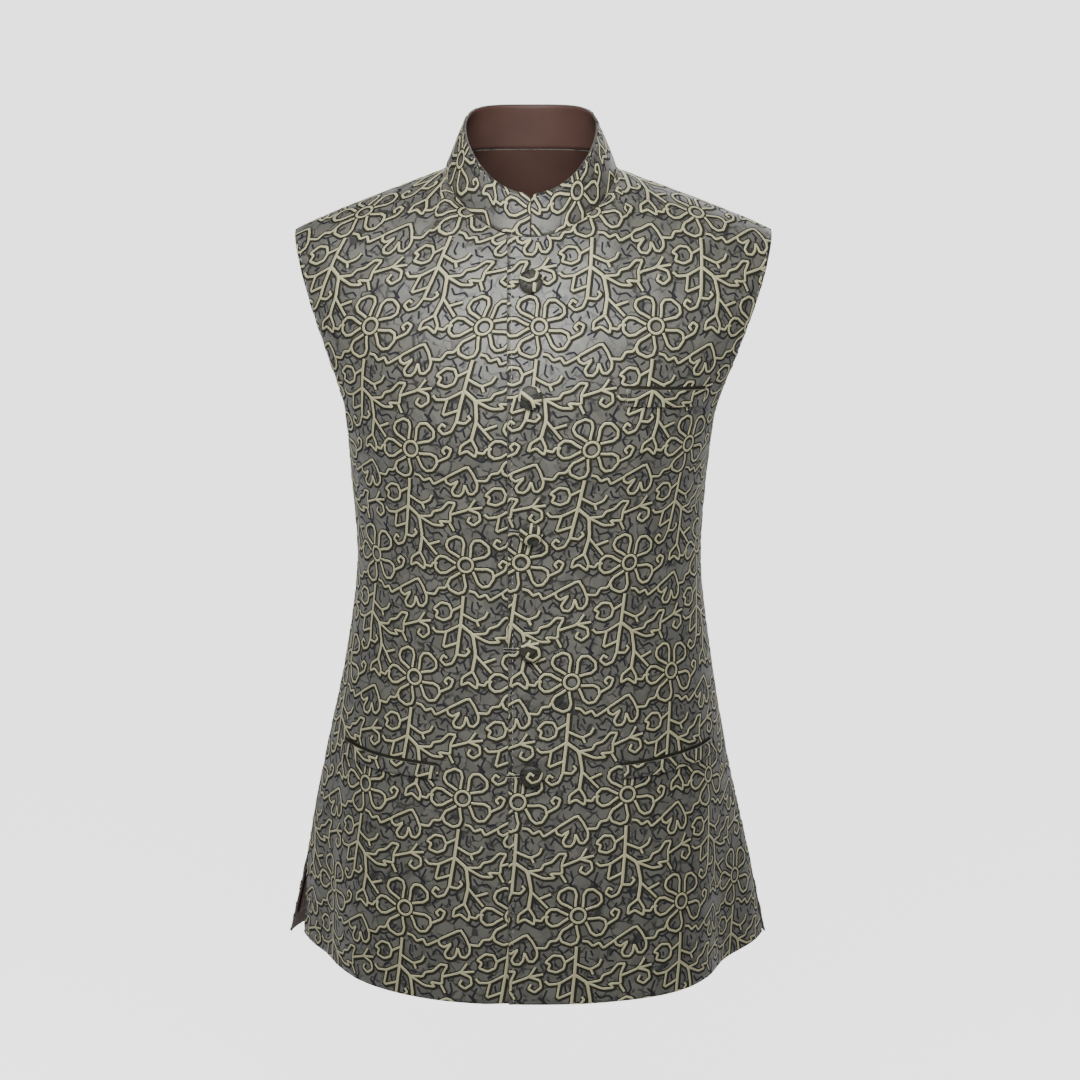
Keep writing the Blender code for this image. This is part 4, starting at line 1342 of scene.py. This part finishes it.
def main():
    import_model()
    cad_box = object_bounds()
    add_studio()
    black = (0.003, 0.003, 0.003)
    ink = (0.002, 0.002, 0.002)
    ground = woven_ground("slate_satin", (0.012, 0.0119, 0.0100), (0.046, 0.0455, 0.0390), black)
    covers = woven_ground("button_satin", (0.004, 0.004, 0.003), (0.017, 0.017, 0.013), ink, 0.08)
    # The collar's satin is a darker copy of the body's satin: painted shade on the upright collar band.
    collar_shaded_ground = woven_ground("collar_satin_painted_shade", (0.009, 0.009, 0.0075), (0.034, 0.0335, 0.0285), ink)
    gold = thread_finish("gold_cream_thread", (0.068, 0.065, 0.034), (0.158, 0.151, 0.090), 0.46, 0.05, 0.08)
    # Near-black thread: the figure's outlines, partly woven outline and partly painted shadow, and the
    # painted shade in slits and buttonholes.
    outline_and_shade = thread_finish("dark_outline_and_shade_thread", (0.002, 0.002, 0.001), (0.008, 0.008, 0.005), *MATT)
    crackle = thread_finish("navy_crackle_thread", (0.003, 0.003, 0.004), (0.006, 0.006, 0.0075), *MATT)
    lining = lining_finish()
    thread = stitch_finish()
    threads = (gold, outline_and_shade, crackle)
    figure = motif()
    fronts = {panel: front_cloth(panel) for panel in ("front_left", "front_right")}
    back = back_cloth()
    collar = collar_cloth()
    inner = lining_cloth(back)
    tree = stitch_tree(thread)
    for cloth in (*fronts.values(), back):
        drawn = figure_on(cloth, REPEATS[cloth.name], figure, threads)
        piece = shell(cloth, CLOTH, (ground, lining), FACING if cloth.name in fronts else 0.0)
        rows = edge_stitches(cloth, tree)
        declare(piece, cloth.name, [drawn, *rows])
    drawn = figure_on(collar, REPEATS["collar"], figure, threads)
    piece = shell(collar, COLLAR_CLOTH, (collar_shaded_ground, lining))
    columns = np.linspace(1.5, collar.points.shape[1] - 2.5, 160)
    path = on_cloth(collar, np.full_like(columns, collar.points.shape[0] - 2.0), columns, EDGE_LIFT)
    rows = [add_stitches("collar_edge_stitches", tree, path, *PICK)]
    declare(piece, "collar", [drawn, *rows])
    piece = shell(inner, LINING_CLOTH, (lining,))
    declare(piece, "lining_back", [])
    for welt in WELTS:
        front = fronts[welt.panel]
        cloth = welt_cloth(welt, front)
        drawn = figure_on(cloth, REPEATS[welt.name], figure, threads)
        top = cloth.cut[-1]
        ups = top[:, 1] + SLIT_RISE
        # The pocket's mouth: a flat dark strip of painted shade.
        slit = strip_on(f"{welt.name}_slit", front, top[:, 0], ups, SLIT_WIDTH, SLIT_LIFT, (outline_and_shade,))
        piece = shell(cloth, WELT_CLOTH, (ground,))
        declare(piece, welt.name, [drawn, slit])
        rows = np.linspace(0.6, cloth.points.shape[0] - 1.6, 14)
        for end, column in (("inner", 0.7), ("outer", cloth.points.shape[1] - 1.7)):
            path = on_cloth(cloth, rows, np.full_like(rows, column), 0.0002)
            add_stitches(f"{welt.name}_{end}_tack", tree, path, *TACK, math.pi / 2)
    left = fronts["front_left"]
    for number in range(1, len(BUTTON_HEIGHTS) + 1):
        add_button(number, left, figure, (covers,), threads)
        middle = row_at(left, column_of(left, 0.0), BUTTON_HEIGHTS[number - 1])
        up = blended(left.cut, np.array([middle]), np.array([column_of(left, 0.0)]))[0, 1]
        outs = np.linspace(*BUTTONHOLE_ENDS, 9)
        ups = np.full_like(outs, up)
        # The buttonhole's slit: a flat dark strip of painted shade.
        strip_on(f"buttonhole_{number}", left, outs, ups, BUTTONHOLE_WIDTH, SLIT_LIFT, (outline_and_shade,))
        for edge, side in (("lower", -1), ("upper", 1)):
            at = find_on_cut(left.cut, np.column_stack((outs, ups + side * BUTTONHOLE_ROW)))
            path = on_cloth(left, at[:, 0], at[:, 1], SLIT_LIFT)
            add_stitches(f"buttonhole_{number}_{edge}_stitches", tree, path, *BUTTONHOLE_STITCH, math.pi / 2)
    finish(cad_box)


def finish(cad_box):
    bpy.context.view_layer.update()


main()
